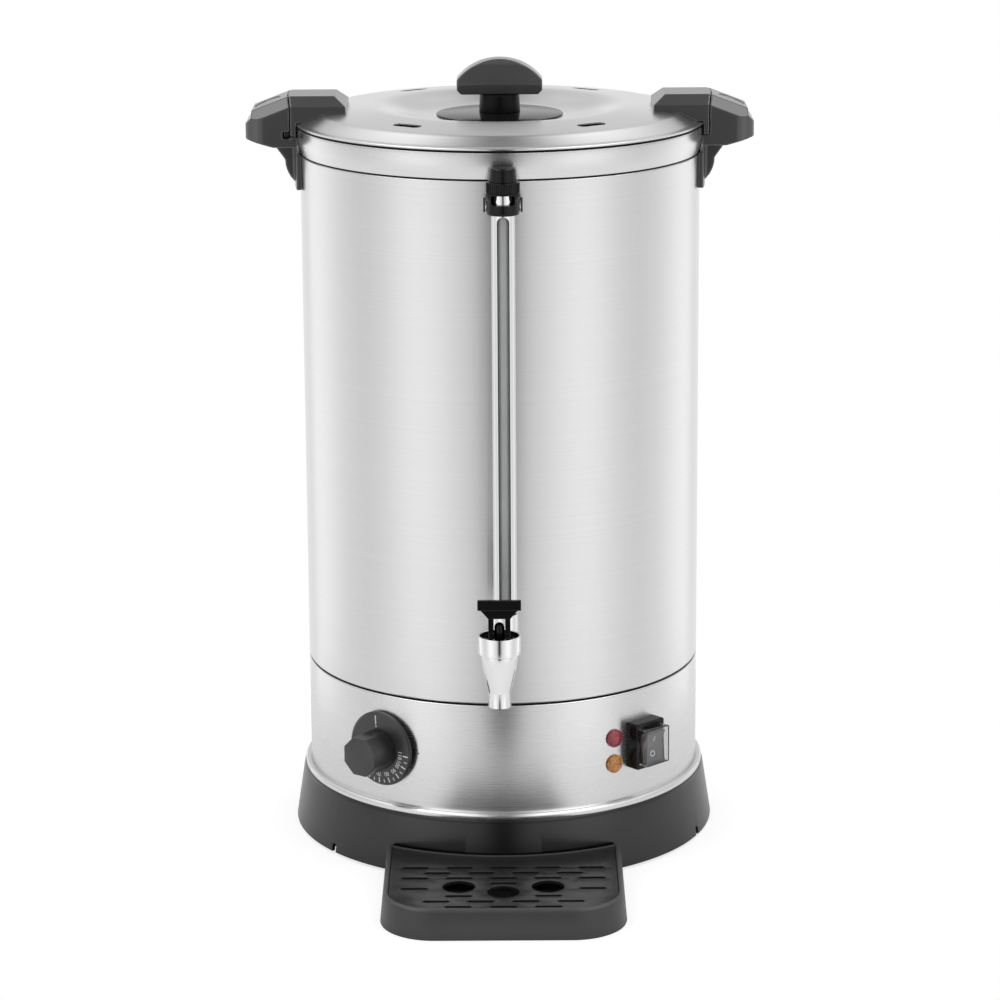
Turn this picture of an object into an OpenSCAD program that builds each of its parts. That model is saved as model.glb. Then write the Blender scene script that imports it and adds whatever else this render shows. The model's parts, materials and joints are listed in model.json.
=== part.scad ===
// Hot water urn: double-walled steel tank with a bayonet lid, a side sight gauge,
// a self-closing tap, a thermostat dial, a rocker switch and a removable drip tray.
// Origin: on the body axis, on the plane that the urn stands on. The tap faces -Y.

/* [Body] */
// Outer radius of the casing
body_r = 158; // [154:0.5:164]
// Thickness of the steel sheets
sheet = 0.8; // [0.6:0.1:1]
// Height of the seam between control band and casing
seam_z = 142; // [138:1:152]
// Height of the seam between casing and rim band
band_z = 553.5; // [520:0.5:580]
// Height of the rim band
band_h = 19.5; // [18:0.5:22]
// How far the rim band swells out of the casing's line
band_bulge = 3; // [2:0.25:3.5]
// Thickness of the dark rings in both seams
seam_h = 1.2; // [0.8:0.1:2]
// Air gap between tank and casing
tank_gap = 7.2; // [6.5:0.1:8]
// How far the ring that carries the tank reaches in under the tank's wall
tank_seat = 12; // [8:1:18]
// Corner radius of the tank's bottom
tank_corner = 6; // [3:1:9]

/* [Base] */
// How far the top of the base skirt stands out of the trim ring
base_lip = 1.2; // [0.9:0.1:2]
// How far the base skirt widens towards the bottom
base_flare = 6.8; // [3:0.2:8]
// Height of the base skirt's shelf
base_h = 49; // [46:1:56]
// Wall of the base skirt
base_wall = 3; // [2.4:0.2:4]
// How far the feet lift the skirt
foot_h = 2; // [1:0.5:4]
// Height of the bottom plate's lower face
plate_z = 5; // [4.5:0.5:6.5]
// Thickness of the bottom plate
plate_t = 1.2; // [0.8:0.1:1.6]
// Radius of each foot
foot_r = 11; // [8:1:14]
// Distance of the feet's middles from the outside of the skirt
foot_in = 33; // [28:1:45]
// Height of the bright trim ring
trim_h = 6; // [4:0.5:8]
// How far the trim ring stands out of the control band
trim_out = 4.6; // [3.4:0.2:4.8]
// Width of the drain notches in the skirt's lower edge
notch_w = 5; // [3:0.5:8]
// Height of the drain notches
notch_h = 7; // [5:0.5:10]

/* [Lid] */
// How far the lid's rolled rim stands out over the tank's rim
lid_over = 0.6; // [0.4:0.1:1.8]
// Thickness of the lid sheet
lid_sheet = 1; // [0.8:0.1:1.2]
// Thickness of the lid's rolled rim
lid_rim_t = 2.4; // [2:0.1:3]
// Distance of the raised top's edge from the rolled rim
plateau_in = 17.8; // [16.8:0.1:21]
// Height of the raised top's edge above the rolled rim
plateau_h = 6.7; // [5.5:0.1:8]
// How deep the raised top is dished
dish = 4; // [1:0.5:5]
// Thickness of the seal ring under the lid
seal_h = 1; // [0.8:0.1:1.5]
// Depth of the lid's plug below the tank rim
plug_depth = 11; // [8:0.5:20]
// Running gap between the lid's plug and the tank
plug_gap = 0.8; // [0.5:0.1:1.2]
// Distance of the steam slots from the raised top's edge
slot_in = 22; // [18:1:32]
// Angle of the steam slots from the front or back
slot_angle = 36.5; // [34:0.5:40]
// Length of a steam slot
slot_l = 25; // [18:1:30]
// Width of a steam slot
slot_w = 8; // [6:0.5:10]
// Radius of the heat shield disc
disc_r = 50; // [44:1:54]
// Thickness of the heat shield disc
disc_t = 2.6; // [2:0.1:4]
// Width of the knob's grip
knob_w = 67.4; // [56:0.2:76]
// Depth of the knob's grip
knob_t = 22; // [18:0.5:26]
// Height of the knob's grip
knob_h = 28.2; // [22:0.1:30]
// Radius of the knob's stem
knob_stem_r = 16.2; // [12:0.2:18]
// Height of the knob's stem
knob_stem_h = 14; // [10:0.5:18]

/* [Handles] */
// Width of the handles and of the lid's ears
handle_w = 58; // [50:1:64]
// Length of the grip from the split to its outer end
grip_l = 34.2; // [31:0.1:43]
// Height of the handles' top above the tank rim
handle_top = 24; // [20:0.5:25]
// Depth of the grip's outer end
grip_end_h = 14; // [10:1:16]
// Slope of the grip's top
grip_slope = 21; // [16:1:24]
// Length of the leg below the tank rim
leg_drop = 49; // [42:1:56]
// Thickness of the leg's saddle plate
leg_t = 4.4; // [4:0.2:6]
// Width of the gusset under the grip
gusset_w = 34; // [26:1:40]
// Distance of the split between handle and ear from the lid's rim
split_over = 5; // [4.6:0.1:6]
// Gap at the split
split_gap = 0.6; // [0.4:0.1:1]
// How far the ear reaches in over the raised top
ear_l = 23.5; // [18:0.5:30]
// Depth of the ear's lower edge below the tank rim
ear_drop = 6.4; // [5:0.2:8]
// Gap between the ear's lower edge and the handle
ledge_gap = 0.6; // [0.4:0.1:1]
// Chamfer along the handles' top edges
chamfer_w = 9; // [6:0.5:11]
// Height of that chamfer
chamfer_h = 7.4; // [5:0.2:9]

/* [Sight gauge] */
// Distance of the gauge's axis from the casing
gauge_out = 15; // [14.6:0.2:18]
// Sideways place of the gauge
gauge_x = 2.5; // [0:0.5:5]
// Outer radius of the guard tube
guard_r = 8.9; // [8.5:0.05:9.5]
// Wall of the guard tube
guard_wall = 1; // [0.8:0.1:1.2]
// Width of the guard's viewing slot
view_w = 9.3; // [7:0.1:10]
// Outer radius of the glass tube
glass_r = 5.2; // [4.6:0.1:5.5]
// Wall of the glass tube
glass_wall = 1.2; // [0.8:0.1:1.6]
// Radius of the black collar
collar_r = 12.5; // [12:0.1:13]
// Height of the black collar
collar_h = 16.2; // [14:0.2:18]
// Depth of the collar's lower edge below the band seam
collar_drop = 23; // [22:0.2:28]
// Height of the knurled nut
knurl_h = 8.4; // [6:0.2:9]
// Radius of the cap
cap_r = 10.3; // [9.6:0.1:10.6]
// Height of the cap
cap_h = 10.5; // [10:0.5:15]

/* [Tap] */
// Distance of the tap's cup from the casing
tap_out = 54; // [50:1:60]
// Sideways place of the tap
tap_x = -2; // [-3:0.5:1]
// Height of the shank's axis above the seam
shank_up = 49; // [44:1:52]
// Outer radius of the shank
shank_r = 9.6; // [9:0.1:10]
// Radius of the water way through the shank
water_r = 6.5; // [5:0.1:6.8]
// Radius of the shank's outer flange
flange_r = 15.5; // [15:0.5:20]
// Outer radius of the spout
spout_r = 8.6; // [7.6:0.1:8.8]
// Bore radius of the spout
spout_bore_r = 5.5; // [5:0.1:5.8]
// Length of the straight spout
spout_l = 12.5; // [9:0.5:15]
// Outer radius of the cup's cone at the top
cup_r = 14.2; // [13.6:0.1:15]
// Outer radius of the bonnet ring
bonnet_r = 16.1; // [15.6:0.1:17]
// Height of the bonnet ring
bonnet_h = 14.5; // [13:0.5:16]
// Width of the lever's crossbar
lever_w = 33; // [28:1:36]
// Height of the crossbar
lever_bar_h = 8; // [6:0.5:9]
// Height of the crossbar's lower edge above the bonnet's web
lever_up = 33.5; // [31:0.5:36]

/* [Controls] */
// Angle of the thermostat dial from the front, negative to the left
dial_angle = -36.5; // [-40:0.5:-32]
// Height of the dial's axis
dial_z = 98; // [95:0.5:106]
// Radius of the dial's skirt
dial_r = 30; // [27:0.5:32]
// Thickness of the dial's skirt
dial_t = 4; // [3.5:0.5:6]
// Gap between the dial and the control band
dial_gap = 2; // [1.8:0.1:3]
// Distance of the grip's face from the control band
dial_out = 31; // [26:0.5:34]
// Radius across the corners of the dial's eight-sided grip
dial_grip_r = 16.4; // [13:0.2:18]
// Angle of the rocker switch from the front
switch_angle = 43.6; // [43:0.2:48]
// Height of the rocker switch's centre
switch_z = 98; // [96:0.5:108]
// Width of the switch's frame
switch_w = 30.4; // [29.4:0.2:32]
// Height of the switch's frame
switch_h = 37.5; // [36.5:0.5:40]
// How far the switch's frame stands out
switch_out = 10.5; // [10.5:0.5:13]
// Width of the rocker
rocker_w = 20; // [18:0.5:20.6]
// Height of the rocker
rocker_h = 24.6; // [22:0.2:25]
// Angle the rocker tips through
rocker_travel = 16; // [12:1:18]
// Angle of the lamps from the front
lamp_angle = 33.6; // [30:0.2:34]
// Height of the upper lamp
lamp_z = 106; // [104:0.5:112]
// Distance between the two lamps
lamp_pitch = 21; // [18:0.5:24]
// Radius of a lamp lens
lens_r = 7.3; // [7:0.1:7.6]
// Height of a lamp lens
lens_h = 3.2; // [2.4:0.2:4]

/* [Drip tray] */
// Half width of the tray at the bottom
tray_half = 94; // [88:0.5:96]
// Length of the tray from the base skirt to its front
tray_l = 120.6; // [116:0.2:128]
// Height of the tray
tray_h = 24; // [22:0.5:28]
// Wall of the tray
tray_wall = 4.4; // [3.6:0.2:5]
// Floor of the tray
tray_floor = 2.4; // [2:0.2:3]
// Corner radius of the tray's front
tray_corner = 42; // [36:1:46]
// Draft of the tray's walls over its height
tray_draft = 2.4; // [1:0.2:3]
// Gap between the tray and the base skirt
tray_gap = 0.8; // [0.6:0.1:1.2]
// Thickness of the grid
grid_t = 2.6; // [2:0.2:3]
// Gap around the grid
grid_gap = 0.5; // [0.4:0.1:0.8]
// How far the grid lies below the tray's rim
grid_sunk = 0.8; // [0.4:0.1:1.4]
// Length of a drain slot
drain_l = 22; // [16:1:24]
// Width of a drain slot
drain_w = 2.8; // [2:0.2:3.4]
// Sideways pitch of the drain slots
drain_pitch = 17; // [15:0.5:17.5]
// Pitch of the rows of drain slots
row_pitch = 11.3; // [10:0.1:12]
// Radius of a finger hole
finger_r = 12.6; // [11:0.1:13]
// Sideways pitch of the finger holes
finger_pitch = 34; // [32:1:36]
// Half width of the tray's tongue
tongue_half = 30; // [24:1:34]

/* [Heating] */
// Radius of the heater plate
heater_r = 108; // [96:1:110]
// Thickness of the heater plate
heater_t = 7; // [5:0.5:9]
// Radius of the heating element's ring
element_r = 84; // [76:1:86]
// Radius of the element's tube
element_tube_r = 4.5; // [3.5:0.1:5]

/* [Hidden] */
$fn = 96;

// Heights and radii that follow from the values above
tank_r = body_r - sheet - tank_gap;
tank_seat_r = tank_r - tank_seat;
trim_r = body_r + trim_out;
base_top_r = trim_r + base_lip;
base_r = base_top_r + base_flare;
foot_circle = base_r - foot_in;
tank_z = seam_z + seam_h / 2;
band_foot = band_z + seam_h / 2;
rim_z = band_foot + band_h + sheet;
rim_r = body_r + band_bulge + 0.2;
lid_r = rim_r + lid_over;
plateau_r = lid_r - plateau_in;
slot_circle = plateau_r - slot_in;
lid_z = rim_z + seal_h;
lid_rim_top = lid_z + lid_rim_t;
plateau_z = lid_rim_top + plateau_h;
lid_mid_z = plateau_z - dish;
flat_r = disc_r + 8;
skirt_foot_r = lid_r - 4.6;
rim_groove_r = lid_r - 6.4;
seam_inset = 0.2;
shelf_t = 3;
shelf_r = body_r - 9;
touch = 0.05;
slide_gap = 0.4;

tap_y = body_r + tap_out;
gauge_y = body_r + gauge_out;
shank_z = seam_z + shank_up;
cup_z = shank_z + 9.5;
web_z = cup_z + 2.5;
seat_z = cup_z - 25;
cone_z = cup_z - 30;
spout_z = cone_z - spout_l;
chamber_r = 9.5;
thread_depth = 4;
stem_r = 3;
stem_head_r = 3.8;
stem_top = web_z + 22;
pin_r = 1.5;
pin_z = web_z + 7;
heel_gap = 0.3;
heel_z = web_z + heel_gap;
fork_gap = 0.6;
fork_t = 4;
fork_half = stem_head_r + fork_gap + fork_t;
fork_d = 5;
lever_z = web_z + lever_up;
lever_top = lever_z + lever_bar_h;
plug_h = 8.5;
plug_z = seat_z + 1.5;

boss_r = 10;
boss_top = shank_z + 30;
gland_h = 10;
guard_z = boss_top + gland_h;
collar_z = band_z - collar_drop;
collar_top = collar_z + collar_h;
nut_top = collar_top + knurl_h;
cap_top = nut_top + cap_h;
tube_top = nut_top + 5;
tube_foot = boss_top - 8;

split_r = lid_r + split_over;
split_in = split_r - split_gap / 2;
split_out = split_r + split_gap / 2;
handle_reach = split_r + grip_l;
ear_tip = plateau_r - ear_l;
ear_z = rim_z - ear_drop;
top_z = rim_z + handle_top;
leg_z = rim_z - leg_drop;
ledge_z = ear_z - ledge_gap;
pocket_r = lid_r + 0.5;
pocket_top = lid_rim_top + 0.6;

clip_z = tank_z - heater_t;
plate_top = plate_z + plate_t;
tray_back = base_r + tray_gap;
tray_front = tray_back + tray_l;
grid_z = tray_h - grid_sunk - grid_t;

// ---------------------------------------------------------------- helpers

// Points of an arc from angle a0 to a1 in n steps
function arc(x, y, r, a0, a1, n = 6) =
    [for (i = [0:n]) let (a = a0 + (a1 - a0) * i / n) [x + r * cos(a), y + r * sin(a)]];

module revolve(points) { rotate_extrude() polygon(points); }

module ring(r_in, r_out, z, h) {
    translate([0, 0, z]) difference() {
        cylinder(r = r_out, h = h);
        translate([0, 0, -1]) cylinder(r = r_in, h = h + 2);
    }
}

// Places children at an angle from the front, at a height and a distance from the axis,
// with their +Z pointing outwards, +X to the right and +Y up
module facing(angle, z, r) {
    rotate([0, 0, angle]) translate([0, -r, z]) rotate([90, 0, 0]) children();
}

// A bar with round ends, lying along X
module round_slot(l, w, h) {
    linear_extrude(h) {
        square([l - w, w], center = true);
        for (s = [-1, 1]) translate([s * (l - w) / 2, 0]) circle(d = w, $fn = 32);
    }
}

// A box centred on X and Y
module block(x, y, z) { translate([-x / 2, -y / 2, 0]) cube([x, y, z]); }

module rounded_block(x, y, z, r) {
    linear_extrude(z) {
        square([x - 2 * r, y], center = true);
        square([x, y - 2 * r], center = true);
        for (a = [-1, 1], b = [-1, 1])
            translate([a * (x / 2 - r), b * (y / 2 - r)]) circle(r = r, $fn = 32);
    }
}

// A round rod from one point to another
module rod(a, b, r) {
    d = b - a;
    flat = norm([d[0], d[1]]);
    translate(a) rotate([0, atan2(flat, d[2]), atan2(d[1], d[0])])
        cylinder(r = r, h = norm(d), $fn = 24);
}

// ---------------------------------------------------------------- tank and shells

tap_hole_r = shank_r + 0.3;

module tap_hole() {
    translate([tap_x, 0, 0]) facing(0, shank_z, 0) cylinder(r = tap_hole_r, h = body_r + 5);
}

handle_screw_up = 8;
handle_screw_pitch = 12;
handle_screw_z = [for (i = [0, 1]) leg_z + handle_screw_up + i * handle_screw_pitch];
handle_screw_r = 2;
handle_screw_head_r = 3.6;
handle_screw_head_h = 3;
handle_screw_l = 9;

// Runs its children at each handle screw, pointing outwards from the axis
module at_handle_screws() {
    for (side = [-90, 90], z = handle_screw_z) facing(side, z, 0) children();
}

bracket_screw_r = 1.6;
bracket_z = collar_z + collar_h / 2;

module inner_tank() color("gainsboro") difference() {
    revolve(concat(
        [[0, tank_z]],
        arc(tank_r - tank_corner, tank_z + tank_corner, tank_corner, -90, 0),
        [[tank_r, rim_z - sheet], [rim_r, rim_z - sheet], [rim_r, rim_z], [tank_r - sheet, rim_z]],
        arc(tank_r - tank_corner, tank_z + tank_corner, tank_corner - sheet, 0, -90),
        [[0, tank_z + sheet]]));
    tap_hole();
}

module outer_casing() color("silver") difference() {
    ring(body_r - sheet, body_r, tank_z, band_z - seam_h / 2 - tank_z);
    tap_hole();
    at_handle_screws() cylinder(r = handle_screw_r + 0.2, h = body_r + 5, $fn = 32);
    translate([gauge_x, 0, 0]) facing(0, bracket_z, 0)
        cylinder(r = bracket_screw_r + 0.1, h = body_r + 5, $fn = 32);
}

// Radius of the rim band's outside at a share t of its height
band_steps = 8;
function band_line(t) = body_r + 0.4 + band_bulge * sin(120 * t);

module rim_band() color("silver") revolve(concat(
    [for (i = [0:band_steps]) [band_line(i / band_steps), band_foot + band_h * i / band_steps]],
    [for (i = [band_steps:-1:0])
        [band_line(i / band_steps) - sheet, band_foot + band_h * i / band_steps]]));

module band_gasket() color("dimgray")
    ring(tank_r, body_r - seam_inset, band_z - seam_h / 2, seam_h);

module seam_ring() color("dimgray")
    ring(tank_seat_r, body_r - seam_inset, seam_z - seam_h / 2, seam_h);

// ---------------------------------------------------------------- control band and base

spindle_hole_r = 5;
thermostat_screw_up = 20;
thermostat_screw_r = 1.7;
switch_hole_w = 24;
switch_hole_h = 30;
holder_r = 6.2;
gland_z = dial_z - 12;
gland_hole_r = 8;

module control_band() color("silver") difference() {
    ring(body_r - sheet, body_r, base_h, seam_z - seam_h / 2 - base_h);
    facing(dial_angle, dial_z, 0) {
        cylinder(r = spindle_hole_r, h = body_r + 5);
        for (s = [-1, 1]) translate([0, s * thermostat_screw_up, 0])
            cylinder(r = thermostat_screw_r + 0.1, h = body_r + 5, $fn = 32);
    }
    facing(switch_angle, switch_z, 0) block(switch_hole_w, switch_hole_h, body_r + 5);
    for (i = [0, 1]) facing(lamp_angle, lamp_z - i * lamp_pitch, 0)
        cylinder(r = holder_r + 0.1, h = body_r + 5);
    facing(180, gland_z, 0) cylinder(r = gland_hole_r, h = body_r + 5);
}

module base_trim() color("gainsboro") revolve(concat(
    [[body_r + touch, base_h], [trim_r, base_h]],
    arc(trim_r - 1.2, base_h + 2, 1.2, 0, 60, 4),
    [[body_r + 1, base_h + trim_h], [body_r + touch, base_h + trim_h]]));

boss_circle = shelf_r + 6.5;
base_boss_r = 4.8;
base_screw_r = 1.6;
base_screw_l = 14;
base_screw_head_h = 1.8;
base_screw_angles = [for (i = [0:3]) 22.5 + 90 * i];
notch_angles = [for (i = [0:2]) -53 + 120 * i];
tongue_z = plate_top + 4;
tongue_t = 5;

module base_skirt() color([0.22, 0.22, 0.23]) {
    difference() {
        revolve([
            [base_r, foot_h], [base_top_r, base_h - 2.5], [base_top_r - 0.6, base_h - 0.8],
            [trim_r + 0.15, base_h], [shelf_r, base_h], [shelf_r, base_h - shelf_t],
            [base_top_r - base_wall, base_h - shelf_t], [base_r - base_wall, foot_h]]);
        for (a = notch_angles) facing(a, foot_h, base_r - base_wall - 4)
            block(notch_w, 2 * notch_h, base_wall + 8);
        facing(0, tongue_z + tongue_t / 2, base_r - base_wall - 6)
            block(2 * (tongue_half + tray_gap), tongue_t + 2 * slide_gap, base_wall + 10);
    }
    for (a = base_screw_angles) rotate([0, 0, a]) translate([0, -boss_circle, 0])
        ring(base_screw_r, base_boss_r, plate_top, base_h - shelf_t / 2 - plate_top);
}

module bottom_plate() color("lightgray") difference() {
    translate([0, 0, plate_z]) cylinder(r = base_r - base_wall - 1.2, h = plate_t);
    for (a = base_screw_angles) rotate([0, 0, a]) translate([0, -boss_circle, plate_z - 1])
        cylinder(r = base_screw_r + 0.2, h = plate_t + 2, $fn = 32);
}

module base_feet() color([0.1, 0.1, 0.1])
    for (i = [0:3]) rotate([0, 0, 45 + 90 * i]) translate([0, -foot_circle, 0])
        revolve([[0, 0], [foot_r - 1.5, 0], [foot_r, 1.5], [foot_r, plate_z], [0, plate_z]]);

module base_screws() color("silver")
    for (a = base_screw_angles) rotate([0, 0, a]) translate([0, -boss_circle, plate_z - base_screw_head_h]) {
        cylinder(r = base_screw_r * 2, h = base_screw_head_h, $fn = 32);
        cylinder(r = base_screw_r, h = base_screw_l, $fn = 32);
    }

// ---------------------------------------------------------------- handles

// Cross-section of a grip, wide below and chamfered along its top edges
module roof_section(low) {
    half = handle_w / 2;
    polygon([[-half, -low], [half, -low], [half, -chamfer_h], [half - chamfer_w, 0],
             [-half + chamfer_w, 0], [-half, -chamfer_h]]);
}

// The roof section drawn out along X past the split, tilted down by an angle
module roof(angle, x0, l) {
    translate([split_r - 1, 0, top_z]) rotate([0, angle, 0]) translate([x0, 0, 0])
        rotate([90, 0, 90]) linear_extrude(l) roof_section(leg_drop + 12);
}

grip_low = rim_z - 15.4;
grip_end_low = rim_z - 9.4;
gusset_top = grip_low + 2;
over = 6;

// Side view of the grip without its sloping top, which the roof section gives
module grip_side() {
    end_top = grip_end_low + grip_end_h;
    polygon([[body_r - 10, top_z + over], [handle_reach - over, top_z + over],
             [handle_reach - over, end_top + over / 2], [handle_reach, end_top - over / 2],
             [handle_reach, grip_end_low + 2], [handle_reach - 2, grip_end_low],
             [split_r + 11, grip_low], [body_r - 10, grip_low]]);
}

// Plan of the grip: a straight bar whose outer end is rounded
module grip_plan() {
    half = handle_w / 2;
    r = 15;
    polygon(concat(
        [[body_r - 12, half]],
        arc(handle_reach - r, half - r, r, 90, 25, 5),
        arc(handle_reach - r, r - half, r, -25, -90, 5),
        [[body_r - 12, -half]]));
}

module gusset_side() {
    polygon(concat(
        [[body_r - 8, gusset_top], [split_r + 12, gusset_top], [split_r + 10.4, grip_low],
         [split_r + 6, grip_low - 6]],
        arc(split_r - 21.5, grip_low - 11, 24, 0, -52, 6),
        [[body_r - 8, leg_z + 1]]));
}

module handle_solid() {
    intersection() {
        translate([0, handle_w / 2 + 1, 0]) rotate([90, 0, 0])
            linear_extrude(handle_w + 2) grip_side();
        translate([0, 0, leg_z]) linear_extrude(handle_top + leg_drop + over) grip_plan();
        roof(grip_slope, -26, 76);
    }
    translate([0, gusset_w / 2, 0]) rotate([90, 0, 0]) linear_extrude(gusset_w) gusset_side();
    intersection() {
        ring(body_r - 4, body_r + leg_t, leg_z, grip_low + 1 - leg_z);
        translate([body_r - 40, -handle_w / 2, leg_z]) cube([60, handle_w, 60]);
    }
}

module handle_body() difference() {
    handle_solid();
    translate([0, 0, leg_z - 1]) cylinder(r = body_r + 0.1, h = leg_drop);
    translate([0, 0, band_foot - 0.6]) cylinder(r = body_r + band_bulge + 0.5, h = band_h);
    translate([0, 0, ledge_z]) cylinder(r = split_out, h = top_z - ledge_z + over);
    for (z = handle_screw_z) facing(90, z, body_r - 4)
        cylinder(r = handle_screw_r + touch, h = handle_screw_l + 6, $fn = 32);
}

// The catch pocket that the lid turns into, on the front of the left handle
catch = 6;
module handle_left() color([0.27, 0.27, 0.28]) difference() {
    mirror([1, 0, 0]) handle_body();
    translate([-split_out - catch / 2, -handle_w / 2 - 1, ledge_z - 1.6])
        cube([catch, catch * 1.6, catch]);
}

module handle_right() color([0.27, 0.27, 0.28]) handle_body();

module handle_screws() color("silver") at_handle_screws()
    translate([0, 0, body_r - sheet - handle_screw_head_h]) {
        cylinder(r = handle_screw_head_r, h = handle_screw_head_h - 0.1, $fn = 32);
        cylinder(r = handle_screw_r, h = handle_screw_head_h + handle_screw_l, $fn = 32);
    }

// ---------------------------------------------------------------- lid

// Height of the lid's outside between the raised top and its edge
function lid_cone(r) = plateau_z - plateau_h * (r - plateau_r) / (skirt_foot_r - plateau_r);

plug_r = tank_r - sheet - plug_gap;

lid_outline = [
    [0, lid_mid_z], [flat_r, lid_mid_z], [plateau_r - 2.4, plateau_z], [plateau_r, plateau_z - 0.5],
    [skirt_foot_r, lid_rim_top], [lid_r - 0.8, lid_rim_top], [lid_r, lid_rim_top - 0.8],
    [lid_r, lid_z]];

module steam_slots(h) {
    for (a = [slot_angle, -slot_angle, 180 - slot_angle, 180 + slot_angle])
        rotate([0, 0, a]) translate([0, -slot_circle, lid_mid_z - h / 2])
            round_slot(slot_l, slot_w, h);
}

lid_screw_r = 2;
lid_screw_head_h = 2.4;
ear_screw_x = plateau_r - 11;
ear_screw_y = handle_w / 4;

// Runs its children at each screw that holds an ear
module at_ear_screws() {
    for (s = [-1, 1], t = [-1, 1]) translate([s * ear_screw_x, t * ear_screw_y, 0]) children();
}

module lid_shell() color("gainsboro") difference() {
    revolve(concat(lid_outline, [
        [rim_groove_r, lid_z], [rim_groove_r, lid_cone(rim_groove_r) - lid_sheet - 0.2],
        [plug_r, lid_cone(plug_r) - lid_sheet - 0.2], [plug_r, rim_z - plug_depth],
        [plug_r - lid_sheet, rim_z - plug_depth],
        [plug_r - lid_sheet, lid_cone(plug_r) - lid_sheet - 0.2],
        [plateau_r - 2.4, plateau_z - lid_sheet], [flat_r, lid_mid_z - lid_sheet],
        [0, lid_mid_z - lid_sheet]]));
    steam_slots(20);
    translate([0, 0, lid_mid_z - 5]) cylinder(r = lid_screw_r + 0.2, h = 10, $fn = 32);
    at_ear_screws() translate([0, 0, lid_mid_z - 5])
        cylinder(r = lid_screw_r + 0.2, h = 15, $fn = 32);
}

module lid_seal() color("dimgray") ring(tank_r + 1.5, lid_r - 1.6, rim_z, seal_h);

knob_z = lid_mid_z + disc_t + knob_stem_h;
disc_edge = 1.2;

module lid_disc() color([0.13, 0.13, 0.13]) difference() {
    revolve([
        [0, lid_mid_z], [disc_r, lid_mid_z], [disc_r, lid_mid_z + disc_edge],
        [knob_stem_r + 4, lid_mid_z + disc_t], [0, lid_mid_z + disc_t]]);
    translate([0, 0, lid_mid_z - 1]) cylinder(r = lid_screw_r + 0.2, h = 10, $fn = 32);
}

// Front view of the grip: flat below, upright sides and an arched top
knob_side_h = knob_h * 0.42;
module knob_front() {
    half = knob_w / 2;
    rise = knob_h - knob_side_h;
    arch_r = (half * half + rise * rise) / (2 * rise);
    intersection() {
        translate([0, knob_h - arch_r]) circle(r = arch_r);
        translate([-half, 0]) square([knob_w, knob_h + 1]);
    }
}

// Side view of the grip, drawn in at its lower and upper edges
knob_taper_h = 8.4;
module knob_side() {
    half = knob_t / 2;
    polygon([[-half + 3, 0], [half - 3, 0], [half, knob_taper_h], [half - 0.6, knob_h - 4],
             [half - 3, knob_h + 0.1], [-half + 3, knob_h + 0.1], [-half + 0.6, knob_h - 4],
             [-half, knob_taper_h]]);
}

knob_bore_h = 14;
module lid_knob() color([0.17, 0.17, 0.17]) difference() {
    union() {
        translate([0, 0, knob_z]) intersection() {
            translate([0, knob_t / 2, 0]) rotate([90, 0, 0]) linear_extrude(knob_t) knob_front();
            translate([-knob_w / 2, 0, 0]) rotate([90, 0, 90]) linear_extrude(knob_w) knob_side();
        }
        translate([0, 0, lid_mid_z + disc_t])
            cylinder(r1 = knob_stem_r, r2 = knob_stem_r - 0.6, h = knob_stem_h);
    }
    translate([0, 0, lid_mid_z]) cylinder(r = lid_screw_r, h = knob_bore_h, $fn = 32);
}

ear_screw_top = plateau_z + 7;
module lid_screws() color("silver") {
    translate([0, 0, lid_mid_z - lid_sheet - lid_screw_head_h]) {
        cylinder(r = lid_screw_r * 2, h = lid_screw_head_h, $fn = 32);
        cylinder(r = lid_screw_r, h = lid_screw_head_h + knob_bore_h, $fn = 32);
    }
    at_ear_screws() translate([0, 0, lid_mid_z + 0.4 * dish - lid_sheet - lid_screw_head_h]) {
        cylinder(r = lid_screw_r * 2, h = lid_screw_head_h, $fn = 32);
        cylinder(r = lid_screw_r, h = ear_screw_top - lid_mid_z, $fn = 32);
    }
}

ear_tip_l = 9;
module ear_side() {
    rise = chamfer_h / ear_tip_l;
    polygon([[ear_tip, lid_mid_z], [ear_tip, top_z - chamfer_h],
             [ear_tip + ear_tip_l + over, top_z + over * rise],
             [split_r + over, top_z + over * rise],
             [split_r + over, ear_z], [plateau_r - 4, ear_z], [plateau_r - 4, lid_mid_z]]);
}

module ear_body() difference() {
    intersection() {
        translate([0, handle_w / 2 + 1, 0]) rotate([90, 0, 0])
            linear_extrude(handle_w + 2) ear_side();
        roof(0, -60, 70);
        translate([0, 0, ear_z - 1]) cylinder(r = split_in, h = top_z - ear_z + over);
    }
    revolve(concat([[0, ear_z - 2]],
        [for (p = lid_outline) if (p[0] < lid_r - 2) [p[0], p[1] + 0.1]],
        [[skirt_foot_r, pocket_top], [pocket_r, pocket_top], [pocket_r, ear_z - 2]]));
    at_ear_screws() translate([0, 0, lid_mid_z])
        cylinder(r = lid_screw_r, h = ear_screw_top - lid_mid_z + 1, $fn = 32);
}

module lid_ear_left() color([0.27, 0.27, 0.28]) mirror([1, 0, 0]) ear_body();
module lid_ear_right() color([0.27, 0.27, 0.28]) ear_body();

// ---------------------------------------------------------------- sight gauge

// Runs its children on the gauge's axis
module on_gauge() { translate([gauge_x, -gauge_y, 0]) children(); }

module gauge_gland_nut() color("gainsboro") on_gauge() difference() {
    translate([0, 0, boss_top]) {
        cylinder(r = guard_r + 1, h = gland_h, $fn = 6);
        cylinder(r = guard_r, h = gland_h);
    }
    translate([0, 0, boss_top - 1]) cylinder(r = glass_r + 0.3, h = gland_h + 2);
    translate([0, 0, boss_top - 1]) cylinder(r = glass_r + 2.2, h = 4.2);
}

module gauge_seal() color([0.2, 0.2, 0.2]) on_gauge()
    ring(glass_r, glass_r + 2.1, boss_top, 3);

module gauge_tube() color("lightblue", 0.4) on_gauge()
    ring(glass_r - glass_wall, glass_r, tube_foot, tube_top - tube_foot);

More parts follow.
